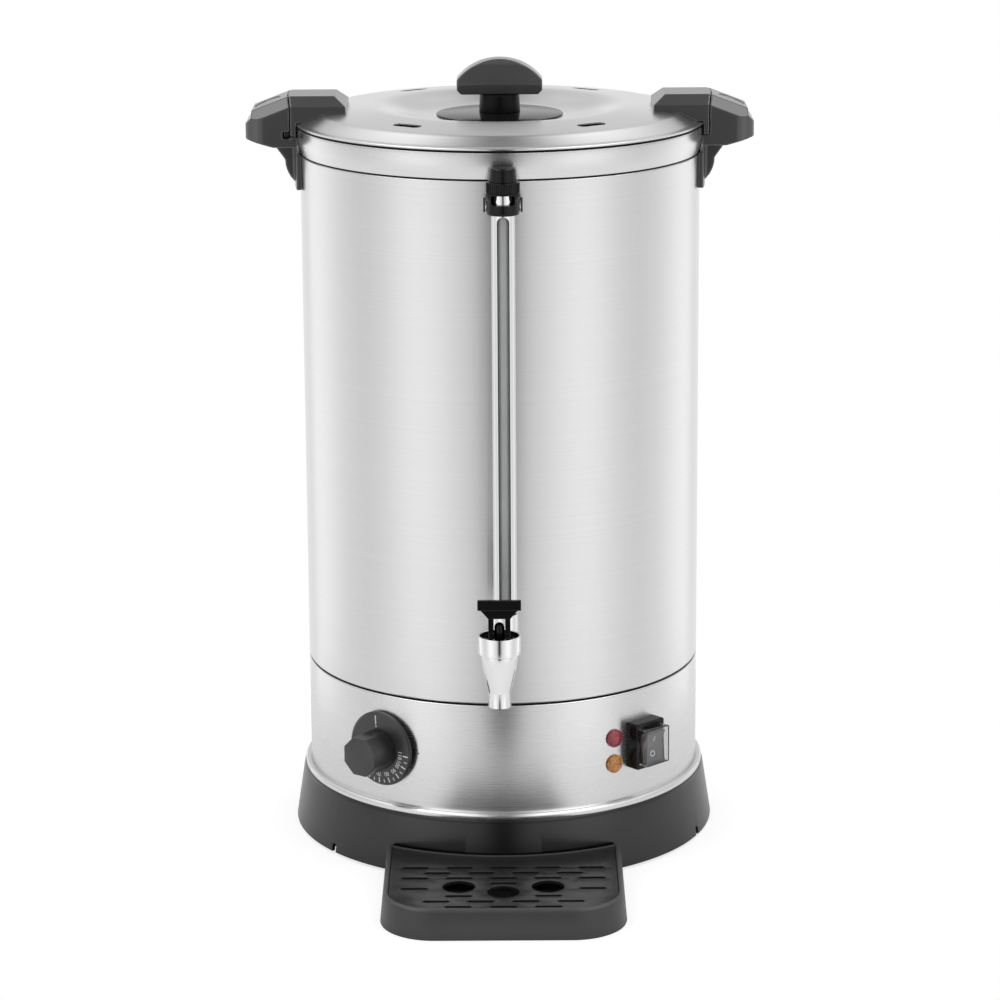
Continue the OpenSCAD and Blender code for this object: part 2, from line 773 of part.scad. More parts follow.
// Height at which the round end of the viewing slot starts
view_top = collar_z - view_w / 2 - 1;
module gauge_guard() color("gainsboro") on_gauge() difference() {
    ring(guard_r - guard_wall, guard_r, guard_z, collar_top - guard_z);
    facing(0, 0, 0) translate([0, 0, 1]) {
        translate([-view_w / 2, guard_z - 1, 0]) cube([view_w, view_top - guard_z + 1, guard_r + 5]);
        translate([0, view_top, 0]) cylinder(d = view_w, h = guard_r + 5);
    }
}

window_h = collar_h * 0.46;
module gauge_collar() color([0.12, 0.12, 0.12]) on_gauge() difference() {
    union() {
        ring(guard_r + touch, collar_r, collar_z, collar_h);
        ring(guard_r + touch, collar_r + 1, collar_top - 4, 3);
    }
    translate([0, -collar_r, collar_top - window_h / 2 - 0.8])
        rotate([90, 0, 0]) translate([0, 0, -collar_r / 2 - 1])
            block(2 * guard_r, window_h, collar_r + 4);
}

bracket_w = 2 * collar_r + 4.4;
bracket_h = collar_h - 5;
bracket_head_gap = 0.5;
bracket_gap = 0.35;
module gauge_bracket() color("gainsboro") {
    difference() {
        translate([gauge_x - bracket_w / 2, -gauge_y - 3, collar_z + 2])
            cube([bracket_w, gauge_y - body_r + 6, bracket_h]);
        translate([0, 0, collar_z]) cylinder(r = body_r + bracket_gap, h = bracket_h + 5);
        on_gauge() translate([0, 0, collar_z]) cylinder(r = collar_r + 1 + touch, h = bracket_h + 5);
    }
    translate([gauge_x, 0, 0]) facing(0, bracket_z, body_r - sheet - bracket_head_gap - 2) {
        cylinder(r = bracket_screw_r * 2, h = 2, $fn = 32);
        cylinder(r = bracket_screw_r, h = sheet + bracket_head_gap + 3.5, $fn = 32);
    }
}

knurls = 30;
module gauge_knurled_nut() color([0.12, 0.12, 0.12]) on_gauge() difference() {
    translate([0, 0, collar_top]) cylinder(r = collar_r + 0.2, h = knurl_h);
    translate([0, 0, collar_top - 1]) cylinder(r = glass_r + 0.3, h = knurl_h + 2);
    for (i = [0:knurls - 1]) rotate([0, 0, 360 * i / knurls])
        translate([collar_r + 0.5, 0, collar_top - 1]) cylinder(r = 0.7, h = knurl_h, $fn = 16);
}

module gauge_cap() color([0.1, 0.1, 0.1]) on_gauge() revolve(concat(
    [[glass_r + 0.3, nut_top], [cap_r + 0.3, nut_top], [cap_r, nut_top + 3]],
    arc(cap_r - 3, cap_top - 3, 3, 0, 80, 5),
    [[0, cap_top], [0, tube_top + 0.6], [glass_r + 0.3, tube_top + 0.6]]));

// ---------------------------------------------------------------- tap

// Runs its children on the axis of the tap's cup
module on_tap() { translate([tap_x, -tap_y, 0]) children(); }

washer_t = 2;
flange_y = body_r + washer_t;
flange_t = 3.5;
shank_in = tank_r - 14;

// The shank points outwards from inside the tank
module shank_rod(r, from, to) {
    translate([tap_x, 0, 0]) facing(0, shank_z, from) cylinder(r = r, h = to - from);
}

// Outside radius of the cup's cone at a share t of its height, from straight to bowed out
cone_bow = 0.6;
cone_steps = 8;
function cone_line(t) =
    spout_r + (cup_r - spout_r) * ((1 - cone_bow) * t + cone_bow * sin(90 * t));

module tap_body() color("gainsboro") difference() {
    union() {
        on_tap() revolve(concat(
            [[0, spout_z], [spout_r - 0.6, spout_z], [spout_r, spout_z + 0.6]],
            [for (i = [0:cone_steps])
                [cone_line(i / cone_steps), cone_z + (cup_z - cone_z) * i / cone_steps]],
            [[0, cup_z]]));
        shank_rod(shank_r, shank_in, tap_y - chamber_r - 1);
        shank_rod(flange_r, flange_y, flange_y + flange_t);
        on_gauge() translate([0, 0, shank_z]) cylinder(r = boss_r, h = boss_top - shank_z);
    }
    on_tap() revolve([
        [0, spout_z - 1], [spout_bore_r, spout_z - 1], [spout_bore_r, seat_z],
        [chamber_r, seat_z + 3], [chamber_r, cup_z + 1], [0, cup_z + 1]]);
    shank_rod(water_r, shank_in - 1, tap_y);
    on_gauge() {
        translate([0, 0, shank_z]) cylinder(r = glass_r - glass_wall, h = boss_top - shank_z, $fn = 48);
        translate([0, 0, tube_foot]) cylinder(r = glass_r + touch, h = boss_top - tube_foot + 1);
    }
}

module tap_washers() color([0.2, 0.2, 0.2]) {
    difference() {
        shank_rod(flange_r - 1, body_r, flange_y);
        shank_rod(shank_r, body_r - 5, flange_y + 5);
    }
    difference() {
        shank_rod(flange_r - 4, tank_r - sheet - 3, tank_r - sheet - 1);
        shank_rod(shank_r, tank_r - 10, tank_r);
    }
}

nut_t = 7;
module tap_locknut() color("silver") difference() {
    translate([tap_x, 0, 0]) facing(0, shank_z, tank_r - sheet - 3 - nut_t)
        cylinder(r = shank_r + 6, h = nut_t, $fn = 6);
    shank_rod(shank_r, tank_r - 30, tank_r);
}

bonnet_top = cup_z + bonnet_h;
module tap_bonnet() color("gainsboro") on_tap() revolve([
    [stem_r + 0.1, cup_z - thread_depth], [chamber_r - touch, cup_z - thread_depth],
    [chamber_r - touch, cup_z], [bonnet_r, cup_z], [bonnet_r, bonnet_top],
    [bonnet_r - 1.3, bonnet_top], [bonnet_r - 1.3, web_z], [stem_r + 0.1, web_z]]);

spring_turns = 4;
spring_r = 5.6;
spring_wire = 0.8;
spring_low = plug_z + plug_h + spring_wire;
spring_high = cup_z - thread_depth - spring_wire;
spring_sides = 8;
spring_steps = 16;

// One ring of the spring's wire after a share t of its turns
function spring_ring(t) =
    let (a = 360 * spring_turns * t)
    [for (j = [0:spring_sides - 1])
        let (b = 360 * j / spring_sides, r = spring_r + spring_wire * cos(b))
        [r * cos(a), r * sin(a), spring_low + (spring_high - spring_low) * t + spring_wire * sin(b)]];

module tap_spring() color("silver") on_tap() {
    n = spring_turns * spring_steps;
    points = [for (i = [0:n]) each spring_ring(i / n)];
    sides = [for (i = [0:n - 1], j = [0:spring_sides - 1])
        let (a = i * spring_sides, k = (j + 1) % spring_sides)
        [a + j, a + k, a + spring_sides + k, a + spring_sides + j]];
    foot = [for (j = [spring_sides - 1:-1:0]) j];
    head = [for (j = [0:spring_sides - 1]) n * spring_sides + j];
    polyhedron(points, concat(sides, [foot, head]), convexity = 10);
}

// Upright stem with a round head that the lever's fork straddles
module tap_stem() color([0.15, 0.15, 0.15]) difference() {
    on_tap() revolve(concat(
        [[0, plug_z + 3], [stem_r, plug_z + 3], [stem_r, web_z + 2], [stem_head_r, web_z + 2]],
        arc(0, stem_top - stem_head_r, stem_head_r, 0, 90)));
    translate([tap_x - 10, -tap_y, pin_z]) rotate([0, 90, 0])
        cylinder(r = pin_r + touch, h = 20, $fn = 32);
}

module seat_plug() color([0.75, 0.73, 0.7]) on_tap() revolve([
    [0, plug_z], [spout_bore_r + 1.4, plug_z], [chamber_r - 1.4, plug_z + 2.4],
    [chamber_r - 1.4, plug_z + plug_h], [stem_r + touch, plug_z + plug_h],
    [stem_r + touch, plug_z + 3 - touch], [0, plug_z + 3 - touch]]);

// Side view of a fork leg. Its round heel is set forward of the pin, so that a pull on the
// lever rolls the heel on the bonnet's web and lifts the pin
heel_r = pin_z - heel_z;
heel_forward = 4.5;
module fork_leg() {
    linear_extrude(fork_t) {
        translate([-heel_forward, 0]) circle(r = heel_r, $fn = 48);
        translate([-fork_d, 0]) square([2 * fork_d, lever_z - pin_z + 1]);
    }
}

bar_front = 9;
bar_back = 8;
fork_foot = fork_half - fork_t;
module tap_lever() color([0.09, 0.09, 0.09]) difference() {
    translate([tap_x, -tap_y, 0]) {
        for (x = [fork_foot, -fork_half])
            translate([x, 0, pin_z]) rotate([90, 0, 90]) fork_leg();
        translate([-lever_w / 2, 0, 0]) rotate([90, 0, 90]) linear_extrude(lever_w)
            polygon([[-bar_front, lever_z], [bar_back, lever_z], [bar_back, lever_top - 4],
                     [-bar_front + 1.5, lever_top], [-bar_front, lever_top - 0.8]]);
        translate([0, bar_back - 2, 0]) rotate([90, 0, 0]) linear_extrude(bar_front + bar_back - 4)
            polygon([[-fork_half, lever_z - 7], [fork_half, lever_z - 7],
                     [lever_w / 2 - 1, lever_z + 1], [-lever_w / 2 + 1, lever_z + 1]]);
    }
    translate([tap_x - fork_half - 1, -tap_y, pin_z]) rotate([0, 90, 0])
        cylinder(r = pin_r, h = 2 * fork_half + 2, $fn = 32);
}

module lever_pin() color("silver")
    translate([tap_x - fork_half, -tap_y, pin_z]) rotate([0, 90, 0])
        cylinder(r = pin_r, h = 2 * fork_half, $fn = 32);

// ---------------------------------------------------------------- controls

plate_half = 17;
plate_out = sqrt(pow(body_r - sheet, 2) - pow(plate_half, 2)) - touch;
thermostat_plate_t = 1.5;
thermostat_plate_h = 50;
thermostat_deep = 26;
thermostat_h = 32;
spindle_r = 3;
spindle_run = 0.05;

module thermostat_body() color("lightgray") facing(dial_angle, dial_z, 0) difference() {
    union() {
        translate([0, 0, plate_out - thermostat_plate_t])
            block(2 * plate_half, thermostat_plate_h, thermostat_plate_t);
        translate([0, 0, plate_out - thermostat_plate_t - thermostat_deep])
            block(2 * plate_half, thermostat_h, thermostat_deep);
    }
    translate([0, 0, plate_out - thermostat_deep])
        cylinder(r = spindle_r + spindle_run, h = thermostat_deep + 5, $fn = 32);
    for (s = [-1, 1]) translate([0, s * thermostat_screw_up, plate_out - 5])
        cylinder(r = thermostat_screw_r, h = 10, $fn = 32);
}

module thermostat_screws() color("silver") facing(dial_angle, dial_z, 0)
    for (s = [-1, 1]) translate([0, s * thermostat_screw_up, plate_out - 4]) {
        cylinder(r = thermostat_screw_r, h = body_r - plate_out + 4.6, $fn = 32);
        translate([0, 0, body_r - plate_out + 4]) cylinder(r = 3, h = 1.4, $fn = 32);
    }

module dial_spindle() color("silver") facing(dial_angle, dial_z, 0)
    translate([0, 0, plate_out - thermostat_deep + 2])
        cylinder(r = spindle_r, h = body_r + dial_out - 6 - plate_out + thermostat_deep - 2, $fn = 32);

module dial_knob() color([0.2, 0.2, 0.2]) facing(dial_angle, dial_z, body_r) difference() {
    union() {
        rotate_extrude() polygon([
            [0, dial_gap], [dial_r, dial_gap], [dial_r, dial_gap + 1.6],
            [dial_r - 1.4, dial_gap + 2.6], [dial_grip_r + 1, dial_gap + dial_t],
            [0, dial_gap + dial_t]]);
        rotate([0, 0, 22.5]) cylinder(r = dial_grip_r, h = dial_out, $fn = 8);
    }
    cylinder(r = spindle_r, h = dial_out - 6, $fn = 32);
}

bulb_r = 3;
bulb_l = 64;
bulb_y = -32;
capillary_r = 0.8;
capillary_drop = 15;
module thermostat_sensor() color("peru") {
    z = clip_z - bulb_r;
    low = z - capillary_drop;
    port = [sin(dial_angle), -cos(dial_angle)] * (plate_out - 14);
    bend = [-bulb_l, bulb_y - bulb_r - capillary_r];
    route = [[bend[0], bulb_y, z], [bend[0], bend[1], low], [port[0], port[1], low],
             [port[0], port[1], dial_z + thermostat_h / 2]];
    rod([-bulb_l, bulb_y, z], [0, bulb_y, z], bulb_r);
    for (i = [0:2]) rod(route[i], route[i + 1], capillary_r);
    for (i = [0:2]) translate(route[i]) sphere(r = capillary_r + 0.3, $fn = 16);
}

window_w = rocker_w + 2.2;
window_v = rocker_h + 3.6;
pivot_out = 5;
pivot_r = 1.5;

module switch_frame() color([0.1, 0.1, 0.1]) difference() {
    facing(switch_angle, switch_z, body_r - 2) difference() {
        rounded_block(switch_w, switch_h, switch_out + 2, 2);
        translate([0, 0, -1]) block(window_w, window_v, switch_out + 5);
        translate([-window_w / 2 - 2.5, 0, pivot_out + 2]) rotate([0, 90, 0])
            cylinder(r = pivot_r + spindle_run, h = window_w + 5, $fn = 32);
    }
    translate([0, 0, base_h]) cylinder(r = body_r + touch, h = seam_z - base_h);
}

switch_deep = 24;
module switch_body() color([0.15, 0.15, 0.15])
    facing(switch_angle, switch_z, body_r - switch_deep) difference() {
        union() {
            block(window_w, window_v, switch_deep);
            for (x = [-6, 6], y = [-8, 8]) translate([x, y, -8]) block(1, 5, 9);
        }
        translate([0, 0, switch_deep - 9]) block(window_w - 2.4, window_v - 2.4, 12);
    }

cover_w = window_w + 3;
cover_h = window_v + 1.6;
cover_t = 1;
cover_out = 8.6;
module switch_cover() color("white", 0.3)
    facing(switch_angle, switch_z, body_r + switch_out) difference() {
        rounded_block(cover_w, cover_h, cover_out, 1.2);
        translate([0, 0, -1]) block(cover_w - 2 * cover_t, cover_h - 2 * cover_t, cover_out - cover_t + 1);
    }

// Side view of the rocker about its pivot: a drum below and a shallow V above
rocker_top = 10;
module rocker_section() {
    half = rocker_h / 2;
    polygon(concat(
        [[-half, rocker_top], [0, rocker_top - 2.4], [half, rocker_top], [half, rocker_top - 4]],
        arc(0, 0, pivot_r + 2.6, -20, -160, 6),
        [[-half, rocker_top - 4]]));
}

module rocker() color([0.12, 0.12, 0.12])
    facing(switch_angle, switch_z, body_r + pivot_out) rotate([rocker_travel / 2, 0, 0]) {
        translate([-rocker_w / 2, 0, 0]) rotate([90, 0, 90]) linear_extrude(rocker_w) rocker_section();
        translate([-window_w / 2 - 2, 0, 0]) rotate([0, 90, 0])
            cylinder(r = pivot_r, h = window_w + 4, $fn = 32);
    }

module lens() {
    rotate_extrude() polygon(concat(
        [[0, -0.4], [holder_r, -0.4], [holder_r, 0.3], [lens_r, 0.3], [lens_r, 1]],
        arc(0, 1, lens_r - 0.5, 8, 90, 8) * [[1, 0], [0, (lens_h - 1) / (lens_r - 0.5)]]));
}

module red_lamp_lens() color("firebrick") facing(lamp_angle, lamp_z, body_r + 0.2) lens();
module amber_lamp_lens() color("darkorange")
    facing(lamp_angle, lamp_z - lamp_pitch, body_r + 0.2) lens();

holder_l = 24;
module lamp_holders() color([0.8, 0.8, 0.78])
    for (i = [0, 1]) facing(lamp_angle, lamp_z - i * lamp_pitch, body_r - 0.2 - holder_l) {
        cylinder(r = holder_r, h = holder_l);
        translate([0, 0, holder_l - 3 - sheet]) cylinder(r = holder_r + 0.6, h = 2);
    }

gland_l = 12;
module cord_gland() color([0.12, 0.12, 0.12]) facing(180, gland_z, 0) difference() {
    union() {
        translate([0, 0, body_r - 8]) cylinder(r = gland_hole_r - touch, h = 10);
        translate([0, 0, body_r]) cylinder(r1 = gland_hole_r + 3, r2 = gland_hole_r + 2, h = 3);
        translate([0, 0, body_r]) cylinder(r1 = gland_hole_r, r2 = gland_hole_r - 2.5, h = 11);
        translate([0, 0, body_r - 7]) cylinder(r = gland_hole_r + 2, h = 4);
    }
    translate([0, 0, body_r - gland_l])
        cylinder(r = gland_hole_r / 2 - 0.4, h = 2 * gland_l, $fn = 48);
}

// ---------------------------------------------------------------- heating

module heater_plate() color("lightgray") translate([0, 0, clip_z]) cylinder(r = heater_r, h = heater_t);

element_open = 30;
element_lead_l = 20;
element_z = clip_z - element_tube_r;
module heater_element() color("dimgray") {
    rotate([0, 0, 90 + element_open / 2]) rotate_extrude(angle = 360 - element_open)
        translate([element_r, element_z]) circle(r = element_tube_r, $fn = 32);
    for (s = [-1, 1]) rotate([0, 0, 90 + s * element_open / 2]) translate([element_r, 0, 0]) {
        translate([0, 0, element_z]) sphere(r = element_tube_r, $fn = 32);
        translate([0, 0, element_z - element_lead_l])
            cylinder(r = element_tube_r / 2, h = element_lead_l, $fn = 32);
    }
}

clamp_t = 2;
clamp_w = 14;
clamp_stud_r = 3;
clamp_stud_l = 8;
clamp_nut_h = 5;
clamp_z = element_z - element_tube_r - clamp_t;
module heater_clamp() color("silver") {
    translate([0, 0, clamp_z]) block(2 * element_r + clamp_w, clamp_w, clamp_t);
    translate([0, 0, clamp_z - clamp_stud_l])
        cylinder(r = clamp_stud_r, h = clip_z - clamp_z + clamp_stud_l, $fn = 32);
    translate([0, 0, clamp_z - clamp_nut_h])
        cylinder(r = 2 * clamp_stud_r + 0.5, h = clamp_nut_h, $fn = 6);
}

cutout_x = 28;
cutout_y = 42;
cutout_r = 8.5;
cutout_h = 12;
cutout_ear = [34, 10, 1.4];
cutout_tab = [0.8, 6, 9];
module dry_boil_cutout() color([0.55, 0.4, 0.25]) translate([cutout_x, cutout_y, clip_z]) {
    translate([0, 0, -cutout_h]) cylinder(r = cutout_r, h = cutout_h);
    translate([0, 0, -cutout_ear[2]]) block(cutout_ear[0], cutout_ear[1], cutout_ear[2]);
    for (s = [-1, 1]) translate([s * cutout_r / 2, 0, 1 - cutout_h - cutout_tab[2]])
        block(cutout_tab[0], cutout_tab[1], cutout_tab[2]);
}

terminal_x = 60;
terminal_y = 70;
terminal_size = [46, 20, 17];
terminal_pitch = 14;
terminal_bore_r = 2.6;
module terminal_block() color("ivory") translate([terminal_x, terminal_y, plate_top]) difference() {
    block(terminal_size[0], terminal_size[1], terminal_size[2]);
    for (i = [-1:1]) translate([i * terminal_pitch, terminal_size[1] / 2 + 1, terminal_size[2] / 2])
        rotate([90, 0, 0]) cylinder(r = terminal_bore_r, h = terminal_size[1] + 2, $fn = 32);
}

// ---------------------------------------------------------------- drip tray

// Plan of the tray, drawn in by d from its lower outline, with a back that follows the base
module tray_plan(d, back) {
    half = tray_half - d;
    front = tray_front - d;
    r = tray_corner - d;
    difference() {
        polygon(concat(
            [[half, -back * 0.6]],
            arc(half - r, r - front, r, 0, -90, 10),
            arc(r - half, r - front, r, -90, -180, 10),
            [[-half, -back * 0.6]]));
        circle(r = back);
    }
}

tray_steps = 3;
module drip_tray() color([0.23, 0.23, 0.24]) difference() {
    union() {
        for (i = [0:tray_steps - 1]) translate([0, 0, tray_h * i / tray_steps])
            linear_extrude(tray_h / tray_steps + (i < tray_steps - 1 ? touch : 0))
                tray_plan(tray_draft * i / tray_steps, tray_back);
        translate([-tongue_half, -tray_back - 4, tongue_z])
            cube([2 * tongue_half, tray_back + 4 - shelf_r - 9, tongue_t]);
    }
    translate([0, 0, tray_floor])
        linear_extrude(tray_h) tray_plan(tray_wall + tray_draft + 1.6, tray_back + tray_wall);
    translate([0, 0, grid_z]) linear_extrude(tray_h)
        tray_plan(tray_wall + tray_draft - grid_gap, tray_back + tray_wall - grid_gap - 1.6);
}

back_margin = 26;
front_margin = 11;
finger_margin = 42;
first_row = tray_back + back_margin;
last_rows = tray_front - front_margin;
finger_row = tray_front - finger_margin;

// One row of drain slots at a distance from the axis, at the columns given
module drain_row(y, columns) {
    for (c = columns) translate([c * drain_pitch, -y, 0]) round_slot(drain_l, drain_w, tray_h);
}

module finger_hole(column) {
    translate([column * finger_pitch, -finger_row + abs(column) * row_pitch, 0])
        cylinder(r = finger_r, h = tray_h);
}

module drip_grid() color([0.23, 0.23, 0.24]) difference() {
    translate([0, 0, grid_z]) linear_extrude(grid_t)
        tray_plan(tray_wall + tray_draft, tray_back + tray_wall - 1.6);
    translate([0, 0, grid_z - 5]) {
        drain_row(first_row, [-4, -2, 0, 2, 4]);
        drain_row(first_row + row_pitch, [-3, -1, 1, 3]);
        drain_row(first_row + 2 * row_pitch, [-4, -2, 0, 2, 4]);
        drain_row(first_row + 3 * row_pitch, [0]);
        drain_row(first_row + 4 * row_pitch, [-4, 4]);
        drain_row(last_rows - 2 * row_pitch, [-2, 2]);
        drain_row(last_rows - row_pitch, [-3, -1, 1, 3]);
        drain_row(last_rows, [-2, 0, 2]);
        for (c = [-1, 0, 1]) finger_hole(c);
    }
}

// ---------------------------------------------------------------- all the nodes

inner_tank();
outer_casing();
rim_band();
band_gasket();
seam_ring();
control_band();
base_trim();
base_skirt();
bottom_plate();
base_feet();
base_screws();
handle_left();
handle_right();
handle_screws();
tap_body();
tap_washers();
tap_locknut();
tap_bonnet();
tap_spring();
gauge_gland_nut();
gauge_seal();
gauge_tube();
gauge_guard();
gauge_collar();
gauge_bracket();
gauge_knurled_nut();
gauge_cap();
switch_frame();
switch_cover();
switch_body();
red_lamp_lens();
amber_lamp_lens();
lamp_holders();
thermostat_body();
thermostat_screws();
thermostat_sensor();
heater_plate();
heater_element();
heater_clamp();
dry_boil_cutout();
terminal_block();
cord_gland();
lid_seal();
lid_shell();
lid_disc();
lid_knob();
lid_screws();
lid_ear_left();
lid_ear_right();
dial_knob();
dial_spindle();
rocker();
tap_lever();
lever_pin();
tap_stem();
seat_plug();
drip_tray();
drip_grid();
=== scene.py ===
"""Hot water urn: the finished look of every piece, round the CAD frame.

Everything is drawn in millimetres, in the frame's own axes: +Z up, the tap faces -Y. A piece is
brought to metres when it is finished, with its place in its mesh. Angles are in degrees, and
those of facing() and of every ..._ANGLE start at the tap and grow to the right.
"""
import json
import math

import bmesh
import bpy
from mathutils import Matrix, Vector


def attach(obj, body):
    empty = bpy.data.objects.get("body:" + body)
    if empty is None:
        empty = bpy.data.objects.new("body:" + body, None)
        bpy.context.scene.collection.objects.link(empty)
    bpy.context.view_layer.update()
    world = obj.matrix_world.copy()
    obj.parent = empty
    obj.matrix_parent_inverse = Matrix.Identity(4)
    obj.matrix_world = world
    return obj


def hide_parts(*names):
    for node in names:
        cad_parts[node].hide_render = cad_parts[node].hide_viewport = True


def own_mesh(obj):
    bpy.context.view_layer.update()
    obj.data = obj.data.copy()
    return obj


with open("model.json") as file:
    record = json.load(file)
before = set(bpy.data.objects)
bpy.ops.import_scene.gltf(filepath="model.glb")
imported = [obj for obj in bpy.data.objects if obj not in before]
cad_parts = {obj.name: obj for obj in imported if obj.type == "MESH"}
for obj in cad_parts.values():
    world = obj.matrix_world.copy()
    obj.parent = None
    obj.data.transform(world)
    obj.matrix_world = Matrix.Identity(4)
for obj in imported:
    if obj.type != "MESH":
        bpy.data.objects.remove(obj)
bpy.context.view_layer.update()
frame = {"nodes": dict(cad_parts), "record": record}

# ---------------------------------------------------------------- sizes, as in the part's source

BODY = 158.0
SHEET = 0.8
SEAM_Z = 142.0
SEAM_H = 1.2
TANK_R = 150.0
TANK_Z = SEAM_Z + SEAM_H / 2
BAND_Z = 553.5
BAND_FOOT = BAND_Z + SEAM_H / 2
BAND_H = 19.5
RIM_Z = BAND_FOOT + BAND_H + SHEET
BASE_H = 49.0
BASE_R = 170.6
BASE_TOP_R = 163.8
BASE_WALL = 3.0
FOOT_H = 2.0
PLATE_TOP = 6.2
TRIM_R = 162.6
SHELF_R = 149.0
SHELF_T = 3.0

LID_R = 161.8
LID_Z = RIM_Z + 1.0
LID_RIM_TOP = LID_Z + 2.4
PLATEAU_R = 144.0
EDGE_FALL = 6.7
PLATEAU_Z = LID_RIM_TOP + EDGE_FALL
LID_MID_Z = PLATEAU_Z - 4.0
CONE_FOOT_R = LID_R - 4.6
DISC_R = 50.0
DISC_T = 2.6
KNOB_Z = LID_MID_Z + DISC_T + 14.0
TOP_Z = RIM_Z + 24.0
SPLIT_R = 166.8

SHANK_Z = SEAM_Z + 49.0
CUP_Z = SHANK_Z + 9.5
WEB_Z = CUP_Z + 2.5
SEAT_Z = CUP_Z - 25.0
CONE_Z = CUP_Z - 30.0
SPOUT_Z = CONE_Z - 12.5
TAP = (-2.0, -212.0)

GAUGE = (2.5, -173.0)
GUARD_R = 8.9
GLASS_R = 5.2
BOSS_TOP = SHANK_Z + 30.0
GUARD_Z = BOSS_TOP + 10.0
COLLAR_R = 12.5
COLLAR_Z = BAND_Z - 23.0
COLLAR_H = 16.2
COLLAR_TOP = COLLAR_Z + COLLAR_H
NUT_TOP = COLLAR_TOP + 8.4
CAP_TOP = NUT_TOP + 10.5

DIAL_ANGLE = -36.5
DIAL_Z = 98.0
DIAL_R = 30.0
DOT_ANGLE = -24.8
SWITCH_ANGLE = 43.6
SWITCH_Z = 98.0
LAMP_ANGLE = 33.6
LAMP_Z = 106.0
LAMP_PITCH = 21.0
GLAND_Z = 86.0

TRAY_HALF = 94.0
TRAY_FRONT = 292.0
TRAY_BACK = BASE_R + 0.8
TRAY_H = 24.0
TRAY_CORNER = 42.0
TRAY_WALL = 4.4
TRAY_FLOOR = 2.4
TRAY_DRAFT = 2.4
GRID_T = 2.6
GRID_Z = TRAY_H - 0.8 - GRID_T
ROW = 11.3
COLUMN = 17.0

# ---------------------------------------------------------------- camera


def in_scene(name, data):
    """A new object of the scene."""
    obj = bpy.data.objects.new(name, data)
    bpy.context.scene.collection.objects.link(obj)
    return obj


eye = bpy.data.cameras.new("eye")
eye.lens = 126.92
eye.shift_y = -0.05
eye.sensor_width = 36.0
camera = in_scene("camera", eye)
camera.location = (0.0079, -2.7698, 0.9800)
camera.rotation_euler = [math.radians(angle) for angle in (76.352, 0.347, 0.108)]
bpy.context.scene.camera = camera

# ---------------------------------------------------------------- node trees


def add(tree, kind, values=None, **settings):
    """A node with its settings made and its inputs set or linked."""
    made = tree.nodes.new(kind)
    for key, value in settings.items():
        setattr(made, key, value)
    for key, value in (values or {}).items():
        if isinstance(value, bpy.types.NodeSocket):
            tree.links.new(value, made.inputs[key])
        else:
            made.inputs[key].default_value = value
    return made


def maths(tree, operation, *values):
    """The result of a sum on values or sockets."""
    return add(tree, "ShaderNodeMath", dict(enumerate(values)), operation=operation).outputs[0]


def spread(tree, value, low, high, start=0.0, end=1.0):
    """value taken from the range start to end into the range low to high."""
    return add(tree, "ShaderNodeMapRange",
               {"Value": value, "From Min": start, "From Max": end,
                "To Min": low, "To Max": high}).outputs[0]


def tinted(tree, value, colour):
    """A colour made lighter or darker by a value."""
    return add(tree, "ShaderNodeVectorMath", {0: colour[:3], "Scale": value},
               operation="SCALE").outputs[0]


def principled(name, **values):
    """A material's tree and its shader, with constant values on the shader's own sockets."""
    material = bpy.data.materials.new(name)
    material.use_nodes = True
    tree = material.node_tree
    surface = tree.nodes["Principled BSDF"]
    for key, value in values.items():
        surface.inputs[key.replace("_", " ")].default_value = value
    return material, tree, surface


def feed(tree, surface, **sources):
    """Links what varies over a piece to the shader's sockets."""
    for key, source in sources.items():
        tree.links.new(source, surface.inputs[key.replace("_", " ")])


def grey(level):
    """A colour without hue."""
    return (level, level, level, 1.0)


def own_place(tree):
    """The piece's own coordinates, in metres."""
    return add(tree, "ShaderNodeTexCoord").outputs["Object"]


def noise(tree, place, scale, detail=2.0):
    """Soft irregular patches."""
    return add(tree, "ShaderNodeTexNoise",
               {"Vector": place, "Scale": scale, "Detail": detail}).outputs["Fac"]


def bumped(tree, height, strength, depth):
    """Relief from a height, with its depth in metres."""
    return add(tree, "ShaderNodeBump",
               {"Height": height, "Strength": strength, "Distance": depth}).outputs[0]


def turned_place(tree, fine):
    """Coordinates that run slowly along a turned piece and fast across its brushing."""
    place = own_place(tree)
    x, y, z = add(tree, "ShaderNodeSeparateXYZ", {0: place}).outputs
    radius = maths(tree, "SQRT", maths(tree, "ADD", maths(tree, "MULTIPLY", x, x),
                                       maths(tree, "MULTIPLY", y, y)))
    along = maths(tree, "ADD", maths(tree, "MULTIPLY", z, fine),
                  maths(tree, "MULTIPLY", radius, fine))
    vector = add(tree, "ShaderNodeCombineXYZ",
                 {0: maths(tree, "MULTIPLY", x, 3.0), 1: maths(tree, "MULTIPLY", y, 3.0),
                  2: along}).outputs[0]
    return place, vector


